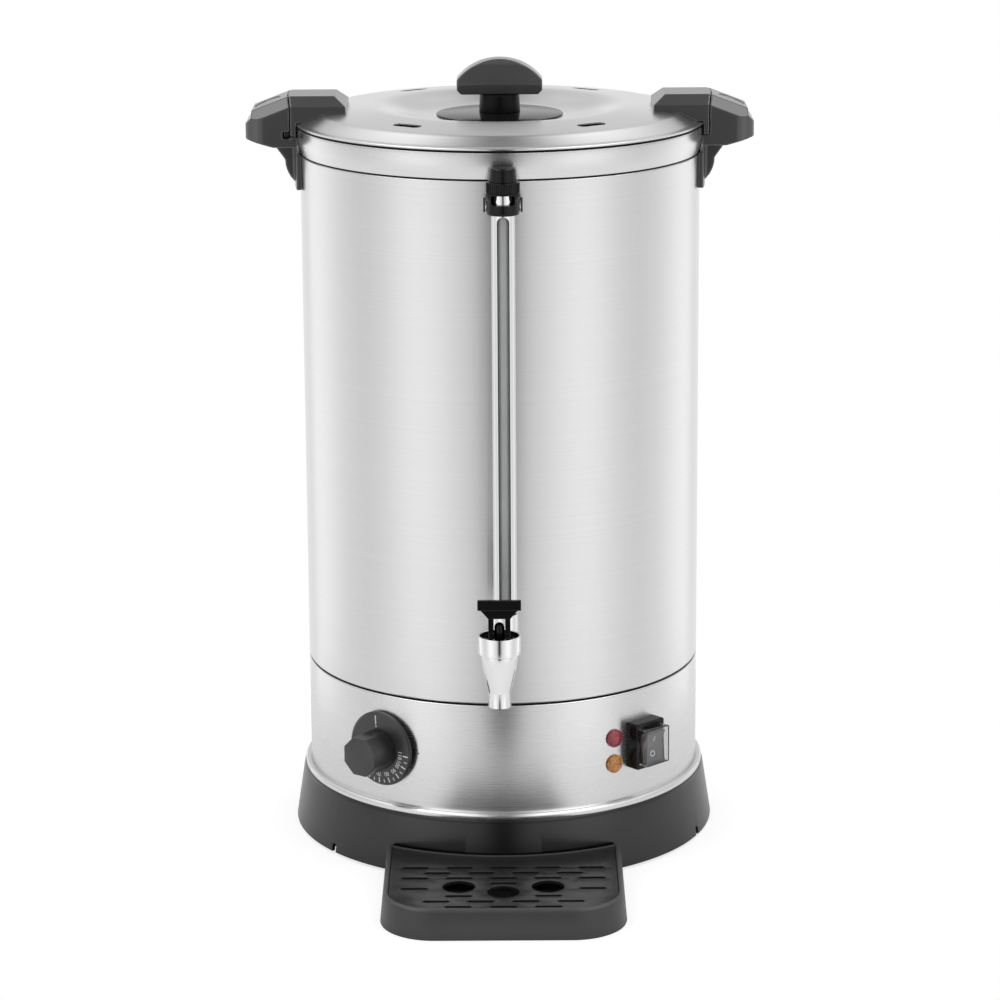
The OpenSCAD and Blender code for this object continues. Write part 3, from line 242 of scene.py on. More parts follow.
def brushed_steel(name, level, rough, shine=0.7, fine=1900.0, streak=0.022, cloud=0.010):
    """Steel sheet brushed round the body: fine rings, soft clouds and a stretched highlight."""
    material, tree, surface = principled(
        name, Metallic=1.0, Anisotropic=shine, Anisotropic_Rotation=0.25)
    place, vector = turned_place(tree, fine)
    ring = noise(tree, vector, 1.0, 4.0)
    drift = add(tree, "ShaderNodeMapping", {"Vector": place, "Scale": (9.0, 9.0, 2.0)}).outputs[0]
    patch = noise(tree, drift, 1.0, 3.0)
    tone = maths(tree, "MULTIPLY", spread(tree, ring, 1 - streak, 1 + streak, 0.3, 0.7),
                 spread(tree, patch, 1 - cloud, 1 + cloud, 0.3, 0.7))
    tangent = add(tree, "ShaderNodeTangent", direction_type="RADIAL", axis="Z")
    feed(tree, surface, Base_Color=tinted(tree, tone, (level, level, level)),
         Roughness=spread(tree, ring, rough * 0.97, rough * 1.03, 0.25, 0.75),
         Normal=bumped(tree, ring, 0.015, 0.0001), Tangent=tangent.outputs[0])
    return material


def plain_metal(name, colour, rough, mottle=0.04, scale=60.0):
    """Bare or plated metal with faint marks of handling."""
    material, tree, surface = principled(name, Metallic=1.0)
    place = own_place(tree)
    marks = noise(tree, place, scale, 5.0)
    tone = spread(tree, marks, 1 - mottle, 1 + mottle, 0.3, 0.7)
    feed(tree, surface, Base_Color=tinted(tree, tone, colour),
         Roughness=spread(tree, marks, rough * 0.8, rough * 1.2, 0.3, 0.7))
    return material


def moulded(name, colour, rough, grain=0.12, scale=1600.0, cloud=0.06, **values):
    """Moulded plastic or rubber: a fine spark-eroded grain and a faint unevenness of tone."""
    material, tree, surface = principled(name, **values)
    place = own_place(tree)
    patch = noise(tree, place, 28.0, 3.0)
    pits = noise(tree, place, scale, 2.0)
    tone = spread(tree, patch, 1 - cloud, 1 + cloud, 0.3, 0.7)
    feed(tree, surface, Base_Color=tinted(tree, tone, colour),
         Roughness=spread(tree, pits, rough * 0.9, rough * 1.1, 0.3, 0.7),
         Normal=bumped(tree, pits, grain, 0.0002))
    return material


def jewel(name, dark, light):
    """A lamp lens whose inside is pressed into small facets."""
    material, tree, surface = principled(
        name, Roughness=0.12, Coat_Weight=0.6, Coat_Roughness=0.05)
    place = own_place(tree)
    facets = add(tree, "ShaderNodeTexVoronoi", {"Vector": place, "Scale": 620.0})
    clouds = noise(tree, place, 260.0, 2.0)
    share = maths(tree, "MULTIPLY", facets.outputs["Distance"],
                  spread(tree, clouds, 0.6, 1.6, 0.3, 0.7))
    ramp = add(tree, "ShaderNodeValToRGB", {0: share})
    ramp.color_ramp.elements[0].color = (*dark, 1.0)
    ramp.color_ramp.elements[1].color = (*light, 1.0)
    ramp.color_ramp.elements[1].position = 0.75
    feed(tree, surface, Base_Color=ramp.outputs[0],
         Normal=bumped(tree, facets.outputs["Distance"], 0.25, 0.0004))
    return material


def clear(name, tint, rough, ior):
    """Glass or clear plastic with faint smears."""
    material, tree, surface = principled(name, Base_Color=(*tint, 1.0), Transmission_Weight=1.0,
                                         IOR=ior)
    place = own_place(tree)
    smear = noise(tree, place, 90.0, 4.0)
    feed(tree, surface, Roughness=spread(tree, smear, rough * 0.5, rough * 1.5, 0.3, 0.7))
    return material


FINISH = {
    "casing_steel": brushed_steel("casing_steel", 0.80, 0.30),
    "band_steel": brushed_steel("band_steel", 0.80, 0.27, streak=0.012),
    "lid_steel": brushed_steel("lid_steel", 0.80, 0.28, shine=0.6),
    "trim_steel": brushed_steel("trim_steel", 0.84, 0.20, shine=0.4, streak=0.02),
    "tank_steel": brushed_steel("tank_steel", 0.76, 0.24, shine=0.4),
    "plate_steel": plain_metal("plate_steel", (0.62, 0.62, 0.62), 0.38),
    "screw_steel": plain_metal("screw_steel", (0.70, 0.70, 0.70), 0.25),
    "spring_steel": plain_metal("spring_steel", (0.60, 0.60, 0.60), 0.28),
    "chrome": plain_metal("chrome", (0.90, 0.90, 0.90), 0.09, mottle=0.01),
    "copper": plain_metal("copper", (0.72, 0.38, 0.24), 0.32, mottle=0.1),
    "element_steel": plain_metal("element_steel", (0.30, 0.29, 0.28), 0.45, mottle=0.15),
    "aluminium_plate": plain_metal("aluminium_plate", (0.70, 0.70, 0.71), 0.42),
    "dark_plastic": moulded("dark_plastic", (0.055, 0.055, 0.056), 0.42),
    "black_plastic": moulded("black_plastic", (0.007, 0.007, 0.007), 0.16, grain=0.03,
                             Specular_IOR_Level=0.25),
    "rubber": moulded("rubber", (0.02, 0.02, 0.02), 0.7, grain=0.2),
    # Near black on the lid seal and the two gaskets: partly the rubber's own colour, partly
    # painted shade of the gaps and grooves they sit in
    "seal_silicone": moulded("seal_silicone", (0.004, 0.004, 0.004), 0.5,
                             Specular_IOR_Level=0.15),
    "pale_plastic": moulded("pale_plastic", (0.70, 0.68, 0.62), 0.45),
    "glass": clear("glass", (0.96, 0.98, 0.97), 0.02, 1.47),
    "clear_cover": clear("clear_cover", (0.93, 0.93, 0.93), 0.06, 1.45),
    "red_lens": jewel("red_lens", (0.10, 0.006, 0.014), (0.42, 0.045, 0.06)),
    "amber_lens": jewel("amber_lens", (0.20, 0.055, 0.006), (0.68, 0.29, 0.05)),
}
# Much darker than the tray's plastic: partly the skirt's own black, partly the shade that falls on
# the skirt, painted into its colour
SKIRT_PLASTIC = moulded("skirt_plastic", (0.005, 0.005, 0.0052), 0.21, grain=0.05,
                        Specular_IOR_Level=0.72)
TRAY_PLASTIC = moulded("tray_plastic", (0.046, 0.046, 0.047), 0.36, grain=0.2, scale=1100.0)
GRID_PLASTIC = moulded("grid_plastic", (0.014, 0.014, 0.0144), 0.30, grain=0.15, scale=1100.0)
GRIP_PLASTIC = moulded("grip_plastic", (0.050, 0.050, 0.051), 0.20, grain=0.06,
                       Specular_IOR_Level=0.95)
KNOB_PLASTIC = moulded("knob_plastic", (0.078, 0.078, 0.079), 0.20, grain=0.06,
                       Specular_IOR_Level=0.9)
STEM_PLASTIC = moulded("stem_plastic", (0.003, 0.003, 0.003), 0.30, grain=0.03,
                       Specular_IOR_Level=0.15)
KEY_PLASTIC = moulded("key_plastic", (0.085, 0.085, 0.085), 0.3, grain=0.03)
DIAL_PLASTIC = moulded("dial_plastic", (0.019, 0.019, 0.0195), 0.30, Specular_IOR_Level=0.85)
PRINT = moulded("print", (0.84, 0.84, 0.84), 0.5, grain=0.0)
# Near white on the rounded edges of the clear cover: the light caught in its edges, as a painted
# highlight
COVER_EDGE_GLINT = moulded("cover_edge_painted_glint", (0.86, 0.86, 0.86), 0.2, grain=0.0)
# Pale and mostly diffuse: the gauge tube's grey stands in for the light that clear glass shows in
# the slot, as painted light
GAUGE_GLASS_PAINTED_LIGHT = moulded("gauge_glass_painted_light", (0.56, 0.57, 0.57), 0.10, grain=0.0,
                      Transmission_Weight=0.2)
# Lighter than the grips, as a painted highlight: the pads' tone stands in for the glossy highlight
# on the grips' slopes
PAD_PAINTED_HIGHLIGHT = moulded("pad_painted_highlight", (0.20, 0.20, 0.20), 0.25, grain=0.04)

# ---------------------------------------------------------------- drawing


def arc(x, y, radius, start, end, steps=8):
    """Points of an arc."""
    return [(x + radius * math.cos(math.radians(start + (end - start) * i / steps)),
             y + radius * math.sin(math.radians(start + (end - start) * i / steps)))
            for i in range(steps + 1)]


def softened(points, radius, steps=4, only=None):
    """A closed outline with its corners rounded. Corners on the axis of a turned piece stay."""
    made = []
    count = len(points)
    for i, corner in enumerate(points):
        here = Vector(corner)
        before = Vector(points[i - 1]) - here
        after = Vector(points[(i + 1) % count]) - here
        limit = 0.48 * min(before.length, after.length)
        if abs(here.x) < 1e-6 or limit < 1e-6 or (only is not None and i not in only):
            made.append(tuple(here))
            continue
        turn = before.angle(after)
        reach = min(radius / max(math.tan(turn / 2), 1e-3), limit)
        if math.pi - turn < 0.05:
            made.append(tuple(here))
            continue
        first = here + before.normalized() * reach
        last = here + after.normalized() * reach
        for k in range(steps + 1):
            t = k / steps
            made.append(tuple(first * (1 - t) ** 2 + here * 2 * t * (1 - t) + last * t * t))
    return made


def outward(bm):
    """Turns every face outwards."""
    bmesh.ops.recalc_face_normals(bm, faces=bm.faces)
    return bm


def turned(profile, sides=180, centre=(0.0, 0.0)):
    """A closed outline of radii and heights turned round an upright axis."""
    bm = bmesh.new()
    rings = []
    for r, z in profile:
        if abs(r) < 1e-6:
            rings.append([bm.verts.new((centre[0], centre[1], z))] * sides)
        else:
            rings.append([bm.verts.new((centre[0] + r * math.cos(2 * math.pi * k / sides),
                                        centre[1] + r * math.sin(2 * math.pi * k / sides), z))
                          for k in range(sides)])
    for i in range(len(rings)):
        low, high = rings[i - 1], rings[i]
        for k in range(sides):
            corners = []
            for v in (low[k - 1], low[k], high[k], high[k - 1]):
                if v not in corners:
                    corners.append(v)
            if len(corners) > 2:
                bm.faces.new(corners)
    return outward(bm)


def stacked(levels):
    """A closed shell through outlines in X and Y, each given with its height, from the foot up."""
    bm = bmesh.new()
    rings = [[bm.verts.new((x, y, z)) for x, y in outline] for outline, z in levels]
    bm.faces.new(rings[0][::-1])
    bm.faces.new(rings[-1])
    for low, high in zip(rings, rings[1:]):
        for k in range(len(low)):
            bm.faces.new((low[k - 1], low[k], high[k], high[k - 1]))
    return outward(bm)


def prism(outline, low, high):
    """A closed outline drawn up from one height to another."""
    return stacked([(outline, low), (outline, high)])


def oblong(width, height, corner, steps=5):
    """A rectangle with round corners, about the origin."""
    x, y = width / 2 - corner, height / 2 - corner
    return (arc(x, y, corner, 0, 90, steps) + arc(-x, y, corner, 90, 180, steps)
            + arc(-x, -y, corner, 180, 270, steps) + arc(x, -y, corner, 270, 360, steps))


def placed(bm, matrix):
    """A mesh brought to its place."""
    bm.transform(matrix)
    return bm


def facing(angle, height, out, side=0.0):
    """A place on the body's side: +Z points outwards, +X to the right and +Y up."""
    return (Matrix.Translation((side, 0, 0)) @ Matrix.Rotation(math.radians(angle), 4, "Z")
            @ Matrix.Translation((0, -out, height)) @ Matrix.Rotation(math.pi / 2, 4, "X"))


def at(x, y, z):
    """A place without a turn."""
    return Matrix.Translation((x, y, z))


def loose(bm):
    """A passing object that holds a mesh in the making."""
    mesh = bpy.data.meshes.new("loose")
    bm.to_mesh(mesh)
    bm.free()
    return in_scene("loose", mesh)


def settled(holder, *others):
    """The mesh that an object's modifiers give. The objects are removed."""
    ready = holder.evaluated_get(bpy.context.evaluated_depsgraph_get())
    mesh = bpy.data.meshes.new_from_object(ready)
    bm = bmesh.new()
    bm.from_mesh(mesh)
    bpy.data.meshes.remove(mesh)
    for used in (holder, *others):
        bpy.data.objects.remove(used)
    return bm


def carved(main, *tools, how="DIFFERENCE"):
    """main with each tool cut away, joined on or kept in common."""
    holder = loose(main)
    held = [loose(tool) for tool in tools]
    for tool in held:
        step = holder.modifiers.new("carve", "BOOLEAN")
        step.object, step.operation, step.solver = tool, how, "EXACT"
    bm = settled(holder, *held)
    bmesh.ops.remove_doubles(bm, verts=bm.verts, dist=1e-4)
    return bm


def bevelled(bm, width, segments=3, angle=30.0, edge_finish=-1):
    """A mesh with its sharp edges rounded, their faces with a finish of their own if asked."""
    holder = loose(bm)
    step = holder.modifiers.new("edge", "BEVEL")
    step.width, step.segments, step.limit_method = width, segments, "ANGLE"
    step.angle_limit = math.radians(angle)
    step.material = edge_finish
    for _ in range(edge_finish + 1):
        holder.data.materials.append(None)
    return settled(holder)


def worn(bm, voxel, rounds):
    """A solid whose edges are all softened alike, as in a moulded piece."""
    holder = loose(bm)
    step = holder.modifiers.new("cells", "REMESH")
    step.mode, step.voxel_size = "VOXEL", voxel
    step = holder.modifiers.new("ease", "SMOOTH")
    step.factor, step.iterations = 0.5, rounds
    return settled(holder)


def solid_of(node):
    """A merged copy of a CAD node's mesh, in millimetres."""
    bm = bmesh.new()
    bm.from_mesh(frame["nodes"][node].data)
    bm.transform(Matrix.Scale(1000.0, 4))
    bmesh.ops.remove_doubles(bm, verts=bm.verts, dist=1e-3)
    return bm


def joined(*meshes):
    """Separate closed shells in one mesh."""
    whole = bmesh.new()
    for bm in meshes:
        passing = bpy.data.meshes.new("passing")
        bm.to_mesh(passing)
        bm.free()
        whole.from_mesh(passing)
        bpy.data.meshes.remove(passing)
    return whole


def piece(name, bm, body, slot, stands_for=(), finish=None, sharp=32.0, edge=None):
    """Finishes a mesh as a piece that rides on a body and takes a slot's finish."""
    bm.transform(Matrix.Scale(0.001, 4))
    mesh = bpy.data.meshes.new(name)
    bm.to_mesh(mesh)
    bm.free()
    mesh.materials.clear()
    mesh.materials.append(finish or FINISH[slot])
    if edge:
        mesh.materials.append(edge)
    mesh.shade_smooth()
    mesh.set_sharp_from_angle(angle=math.radians(sharp))
    obj = in_scene(name, mesh)
    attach(obj, body)
    if stands_for:
        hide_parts(*stands_for)
    return obj


# ---------------------------------------------------------------- what repeats


def tree_of(name, sockets):
    """A Geometry Nodes tree with named inputs and one geometry output."""
    tree = bpy.data.node_groups.new(name, "GeometryNodeTree")
    for label, kind in sockets:
        tree.interface.new_socket(label, in_out="INPUT", socket_type=kind)
    tree.interface.new_socket("Geometry", in_out="OUTPUT", socket_type="NodeSocketGeometry")
    return tree, add(tree, "NodeGroupInput").outputs


def grown(tree, values):
    """The plain mesh that a tree gives for these inputs."""
    holder = loose(bmesh.new())
    step = holder.modifiers.new("grow", "NODES")
    step.node_group = tree
    for item in tree.interface.items_tree:
        if item.in_out == "INPUT" and item.name in values:
            step[item.identifier] = values[item.name]
    return settled(holder)


def make_ring_tree():
    """An item repeated round an axis."""
    tree, given = tree_of("ring", [
        ("Item", "NodeSocketObject"), ("Count", "NodeSocketInt"), ("First", "NodeSocketFloat"),
        ("Step", "NodeSocketFloat"), ("Radius", "NodeSocketFloat"),
        ("Finish", "NodeSocketMaterial")])
    angle = maths(tree, "RADIANS", maths(tree, "ADD", given["First"], maths(
        tree, "MULTIPLY", add(tree, "GeometryNodeInputIndex").outputs[0], given["Step"])))
    spot = add(tree, "ShaderNodeCombineXYZ", {
        0: maths(tree, "MULTIPLY", given["Radius"], maths(tree, "COSINE", angle)),
        1: maths(tree, "MULTIPLY", given["Radius"], maths(tree, "SINE", angle))}).outputs[0]
    line = add(tree, "GeometryNodeMeshLine", {"Count": given["Count"]})
    moved = add(tree, "GeometryNodeSetPosition", {"Geometry": line.outputs[0], "Position": spot})
    item = add(tree, "GeometryNodeObjectInfo", {"Object": given["Item"]})
    turn = add(tree, "ShaderNodeCombineXYZ", {2: angle}).outputs[0]
    copies = add(tree, "GeometryNodeInstanceOnPoints", {
        "Points": moved.outputs[0], "Instance": item.outputs["Geometry"], "Rotation": turn})
    real = add(tree, "GeometryNodeRealizeInstances", {0: copies.outputs[0]})
    dressed = add(tree, "GeometryNodeSetMaterial", {"Geometry": real.outputs[0],
                                                    "Material": given["Finish"]})
    add(tree, "NodeGroupOutput", {0: dressed.outputs[0]})
    return tree


RING_TREE = make_ring_tree()


def ring_of(item, count, first, step, radius, finish):
    """count copies of an item, from the angle first on, a step apart."""
    holder = loose(item)
    bm = grown(RING_TREE, {"Item": holder, "Count": count, "First": first, "Step": step,
                           "Radius": radius, "Finish": finish})
    bpy.data.objects.remove(holder)
    return bm


def make_drain_tree():
    """A flat plate with slots, cut off askew at their corners, and round holes at given points."""
    tree, given = tree_of("drain", [
        ("Outline", "NodeSocketObject"), ("Slots", "NodeSocketObject"),
        ("Holes", "NodeSocketObject"), ("Length", "NodeSocketFloat"),
        ("Width", "NodeSocketFloat"), ("Hole radius", "NodeSocketFloat"),
        ("Finish", "NodeSocketMaterial")])

    def points_of(label):
        """The points of one of the given objects."""
        info = add(tree, "GeometryNodeObjectInfo", {"Object": given[label]})
        return add(tree, "GeometryNodeMeshToPoints", {"Mesh": info.outputs["Geometry"]})

    bar = add(tree, "GeometryNodeCurvePrimitiveQuadrilateral",
              {"Width": given["Length"], "Height": given["Width"]})
    ends = add(tree, "GeometryNodeFilletCurve", {
        "Curve": bar.outputs[0], "Count": 1,
        "Radius": maths(tree, "MULTIPLY", given["Width"], 0.49)}, mode="POLY")
    slots = add(tree, "GeometryNodeInstanceOnPoints", {
        "Points": points_of("Slots").outputs[0], "Instance": ends.outputs[0]})
    disc = add(tree, "GeometryNodeCurvePrimitiveCircle", {
        "Resolution": 64, "Radius": given["Hole radius"]})
    holes = add(tree, "GeometryNodeInstanceOnPoints", {
        "Points": points_of("Holes").outputs[0], "Instance": disc.outputs[0]})
    edge = add(tree, "GeometryNodeObjectInfo", {"Object": given["Outline"]})
    rim = add(tree, "GeometryNodeMeshToCurve", {"Mesh": edge.outputs["Geometry"]})
    lines = add(tree, "GeometryNodeJoinGeometry")
    for source in (rim, slots, holes):
        tree.links.new(source.outputs[0], lines.inputs[0])
    real = add(tree, "GeometryNodeRealizeInstances", {0: lines.outputs[0]})
    plate = add(tree, "GeometryNodeFillCurve", {"Curve": real.outputs[0]})
    whole = add(tree, "GeometryNodeRealizeInstances", {0: plate.outputs[0]})
    dressed = add(tree, "GeometryNodeSetMaterial", {"Geometry": whole.outputs[0],
                                                    "Material": given["Finish"]})
    add(tree, "NodeGroupOutput", {0: dressed.outputs[0]})
    return tree


# ---------------------------------------------------------------- body

TAP_HOLE = 9.9


def tap_drill():
    """The hole that the tap's shank goes through."""
    return placed(turned([(0, 0), (TAP_HOLE, 0), (TAP_HOLE, 70), (0, 70)], 48),
                  facing(0, SHANK_Z, 110, TAP[0]))


def rolled_sheet(low, high, roll=1.5):
    """A casing sheet whose upper and lower edges are rolled in a little."""
    bend = BODY - roll
    return turned(
        arc(bend, low + roll, roll, -60, 0, 5) + arc(bend, high - roll, roll, 0, 60, 5)
        + [(BODY - 1.6, high), (BODY - 1.6, high - 1.5), (BODY - SHEET, high - 2.4),
           (BODY - SHEET, low + 2.4), (BODY - 1.6, low + 1.5), (BODY - 1.6, low)], 256)


piece("casing_sheet", carved(rolled_sheet(TANK_Z, BAND_Z - SEAM_H / 2), tap_drill()),
      "urn", "casing_steel", ["outer_casing"])
piece("control_panel", rolled_sheet(BASE_H, SEAM_Z - SEAM_H / 2), "urn", "band_steel",
      ["control_band"])

BAND_STEPS = 28


def band_line(t):
    """Radius of the rim band at a share t of its height."""
    return BODY + 0.4 + 3.0 * math.sin(math.radians(120 * t))


band_out = [(band_line(i / BAND_STEPS), BAND_FOOT + BAND_H * i / BAND_STEPS)
            for i in range(BAND_STEPS + 1)]
band_in = [(r - SHEET, z) for r, z in reversed(band_out)]
piece("rim_sheet", turned(softened(band_out + band_in, 0.35, 3), 256), "urn", "band_steel",
      ["rim_band"])


def gasket(z):
    """A dark ring between two sheets, drawn back a little behind them. Its near black is partly
    painted shade of the groove.
    """
    return turned(softened([(SHELF_R, z - SEAM_H / 2), (BODY - 1.2, z - SEAM_H / 2),
                            (BODY - 0.6, z - 0.8), (BODY - 0.6, z + 0.8),
                            (BODY - 1.2, z + SEAM_H / 2), (SHELF_R, z + SEAM_H / 2)], 0.2, 3), 256)


piece("band_ring", gasket(BAND_Z), "urn", "seal_silicone", ["band_gasket"])
piece("seam_gasket", gasket(SEAM_Z), "urn", "seal_silicone", ["seam_ring"])

TANK_CORNER = 6.0
TANK_RIM_R = 161.2
corner_at = (TANK_R - TANK_CORNER, TANK_Z + TANK_CORNER)
tank_profile = ([(0, TANK_Z)] + arc(*corner_at, TANK_CORNER, -90, 0)
                + arc(TANK_R + 2, RIM_Z - SHEET - 2, 2, 180, 90, 4)
                + arc(TANK_RIM_R - 0.4, RIM_Z - 0.4, 0.4, -90, 90, 6)
                + arc(TANK_R + 2, RIM_Z - 2.8, 2.8, 90, 180, 4)
                + arc(*corner_at, TANK_CORNER - SHEET, 0, -90) + [(0, TANK_Z + SHEET)])
piece("tank", carved(turned(tank_profile, 256), tap_drill()), "urn", "tank_steel",
      ["inner_tank"])

trim_profile = softened([(BODY + 0.05, BASE_H), (TRIM_R, BASE_H), (TRIM_R, BASE_H + 3.0),
                         (TRIM_R - 1.2, BASE_H + 4.6), (BODY + 1.4, BASE_H + 4.9),
                         (BODY + 0.6, BASE_H + 4.2), (BODY + 0.05, BASE_H + 4.2)], 0.7, 4)
piece("foot_ring", turned(trim_profile, 256), "urn", "trim_steel", ["base_trim"])

# ---------------------------------------------------------------- base

skirt = turned(softened([
    (BASE_R, FOOT_H), (BASE_TOP_R, BASE_H - 2.5), (BASE_TOP_R - 0.6, BASE_H - 0.8),
    (TRIM_R + 0.15, BASE_H), (SHELF_R, BASE_H), (SHELF_R, BASE_H - SHELF_T),
    (BASE_TOP_R - BASE_WALL, BASE_H - SHELF_T), (BASE_R - BASE_WALL, FOOT_H)], 0.7, 3), 256)
NOTCH_W, NOTCH_H = 5.0, 14.0
NOTCH_ANGLES = (-53, 67, 187)
notch_cuts = [placed(prism(oblong(NOTCH_W, NOTCH_H, 1.2), 0, BASE_WALL + 8),
                     facing(a, FOOT_H, BASE_R - BASE_WALL - 4)) for a in NOTCH_ANGLES]
# The tray's tongue goes through a slit in the base
TONGUE_W, TONGUE_T, TONGUE_GAP = 60.0, 5.0, 0.8
TONGUE_Z = PLATE_TOP + 6.5
tongue_cut = placed(
    prism(oblong(TONGUE_W + 2 * TONGUE_GAP, TONGUE_T + TONGUE_GAP, 0.5), 0, BASE_WALL + 10),
    facing(0, TONGUE_Z, BASE_R - BASE_WALL - 6))
bosses = ring_of(turned([(1.6, PLATE_TOP), (4.8, PLATE_TOP), (4.8, BASE_H - 1.5),
                         (1.6, BASE_H - 1.5)], 32), 4, -67.5, 90, SHELF_R + 6.5, SKIRT_PLASTIC)
piece("skirt", joined(carved(skirt, *notch_cuts, tongue_cut), bosses), "urn", "dark_plastic",
      ["base_skirt"], SKIRT_PLASTIC)
piece("feet", ring_of(turned(softened([(0, 0), (9.5, 0), (11, 1.5), (11, 5), (0, 5)], 0.8), 48),
                      4, -45, 90, BASE_R - 33, FINISH["rubber"]), "urn", "rubber", ["base_feet"])

# ---------------------------------------------------------------- lid

LID_SHEET = 1.0
PLUG_R = TANK_R - SHEET - 0.8


def cone_line(r):
    """Height of the lid's sloping edge at a radius."""
    return PLATEAU_Z - EDGE_FALL * (r - PLATEAU_R) / (CONE_FOOT_R - PLATEAU_R)


CROWN_Z = PLATEAU_Z + 4.0


def eased(r0, z0, r1, z1, steps=12):
    """Points of a smooth rise or fall between two heights."""
    return [(r0 + (r1 - r0) * i / steps,
             z0 + (z1 - z0) * (0.5 - 0.5 * math.cos(math.pi * i / steps)))
            for i in range(steps + 1)]


dish = eased(56, LID_MID_Z, 98, CROWN_Z, 16) + [
    (101, CROWN_Z - 0.05), (105, CROWN_Z - 0.3), (112, CROWN_Z - 0.85), (120, CROWN_Z - 1.5),
    (130, CROWN_Z - 2.4), (137, CROWN_Z - 3.1), (PLATEAU_R - 2.4, PLATEAU_Z + 0.35)]
lid_out = ([(0, LID_MID_Z)] + dish
           + [(PLATEAU_R - 0.8, PLATEAU_Z), (PLATEAU_R + 0.9, PLATEAU_Z - 0.9)]
           + [(CONE_FOOT_R - 1.6, LID_RIM_TOP + 0.9), (CONE_FOOT_R, LID_RIM_TOP + 0.3)]
           + arc(LID_R - 0.9, LID_RIM_TOP - 0.9, 0.9, 100, -80, 12) + [(LID_R - 2.4, LID_Z + 0.6)])
groove_r = LID_R - 6.4
lid_in = [(groove_r, LID_Z), (groove_r, cone_line(groove_r) - LID_SHEET - 0.2),
          (PLUG_R, cone_line(PLUG_R) - LID_SHEET - 0.2), (PLUG_R, RIM_Z - 11),
          (PLUG_R - LID_SHEET, RIM_Z - 11),
          (PLUG_R - LID_SHEET, cone_line(PLUG_R) - LID_SHEET - 0.2),
          (PLATEAU_R - 2.4, PLATEAU_Z - LID_SHEET - 0.15)]
lid_in += [(r, z - LID_SHEET) for r, z in reversed(dish)][1:] + [(0, LID_MID_Z - LID_SHEET)]
SLOT_L, SLOT_W = 25.0, 9.0
# Angle from the tap and radius of each steam slot
STEAM_SLOTS = [(34.9, 122.5), (-34.9, 122.5), (143.8, 118.5), (216.2, 118.5)]
slot_cuts = [placed(prism(oblong(SLOT_L, SLOT_W, SLOT_W / 2 - 0.01, 8), -8, 12),
                    Matrix.Rotation(math.radians(a), 4, "Z") @ at(0, -r, LID_MID_Z))
             for a, r in STEAM_SLOTS]
piece("lid_pressing", carved(turned(lid_out + lid_in, 256), *slot_cuts), "lid", "lid_steel",
      ["lid_shell"], sharp=40)
# The seal reaches out nearly to the lid's edge, and its near black stands partly for the shade of
# the gap under the lid: painted shade
piece("seal", turned(softened([(TANK_R + 1.5, RIM_Z), (LID_R - 1.0, RIM_Z),
                               (LID_R - 1.2, RIM_Z + 1.7), (LID_R - 6, RIM_Z + 1.7),
                               (LID_R - 6, RIM_Z + 1), (TANK_R + 1.5, RIM_Z + 1)], 0.3), 256),
      "seal_ring", "seal_silicone", ["lid_seal"])
piece("heat_disc", turned(softened([
    (0, LID_MID_Z), (DISC_R, LID_MID_Z), (DISC_R, LID_MID_Z + 1.2), (20.2, LID_MID_Z + DISC_T),
    (0, LID_MID_Z + DISC_T)], 0.6), 128), "lid", "black_plastic", ["lid_disc"])

KNOB_W, KNOB_T, KNOB_H = 67.4, 22.0, 28.2
knob_side_h = KNOB_H * 0.42
knob_rise = KNOB_H - knob_side_h
arch_r = ((KNOB_W / 2) ** 2 + knob_rise ** 2) / (2 * knob_rise)
arch_turn = math.degrees(math.asin(KNOB_W / 2 / arch_r))
knob_front = ([(-KNOB_W / 2, 3.6), (3.4 - KNOB_W / 2, 0), (KNOB_W / 2 - 3.4, 0), (KNOB_W / 2, 3.6)]
              + arc(0, KNOB_H - arch_r, arch_r, 90 - arch_turn, 90 + arch_turn, 28))
knob_side = [(-8, 0), (8, 0), (11, 8.4), (10.4, KNOB_H - 4), (8, KNOB_H + 0.1),
             (-8, KNOB_H + 0.1), (-10.4, KNOB_H - 4), (-11, 8.4)]
across = Matrix.Rotation(math.pi / 2, 4, "X")
along = Matrix.Rotation(math.pi / 2, 4, "Z") @ across
knob = carved(placed(prism(knob_front, -KNOB_T / 2 - 1, KNOB_T / 2 + 1), across),
              placed(prism(knob_side, -KNOB_W / 2 - 1, KNOB_W / 2 + 1), along), how="INTERSECT")
piece("knob_grip", placed(worn(knob, 0.55, 8), at(0, 0, KNOB_Z)), "lid", "dark_plastic",
      ["lid_knob"], KNOB_PLASTIC, sharp=60)
piece("knob_stem", turned(softened([
    (2, LID_MID_Z + DISC_T), (16.2, LID_MID_Z + DISC_T), (15.6, KNOB_Z), (2, KNOB_Z)], 0.5), 96),
    "lid", "black_plastic", finish=STEM_PLASTIC)

# ---------------------------------------------------------------- handles

GRIP_SLOPE = math.radians(21)
PAD_OUT = 16.5
EAR_PIN_R = 146


def pad_place(side):
    """The place of the pad on a grip's slope: +Z off the slope, +X outwards. The pad's light grey
    is a painted highlight.
    """
    high = TOP_Z - (PAD_OUT + 1.0) * math.tan(GRIP_SLOPE)
    turn = Matrix.Identity(4) if side > 0 else Matrix.Rotation(math.pi, 4, "Z")
    return (turn @ at(SPLIT_R + PAD_OUT, 0, high) @ Matrix.Rotation(GRIP_SLOPE, 4, "Y"))


def lens(half_x, half_y, low, high, steps=40):
    """An oval plate."""
    return prism([(half_x * math.cos(2 * math.pi * k / steps),
                   half_y * math.sin(2 * math.pi * k / steps)) for k in range(steps)], low, high)


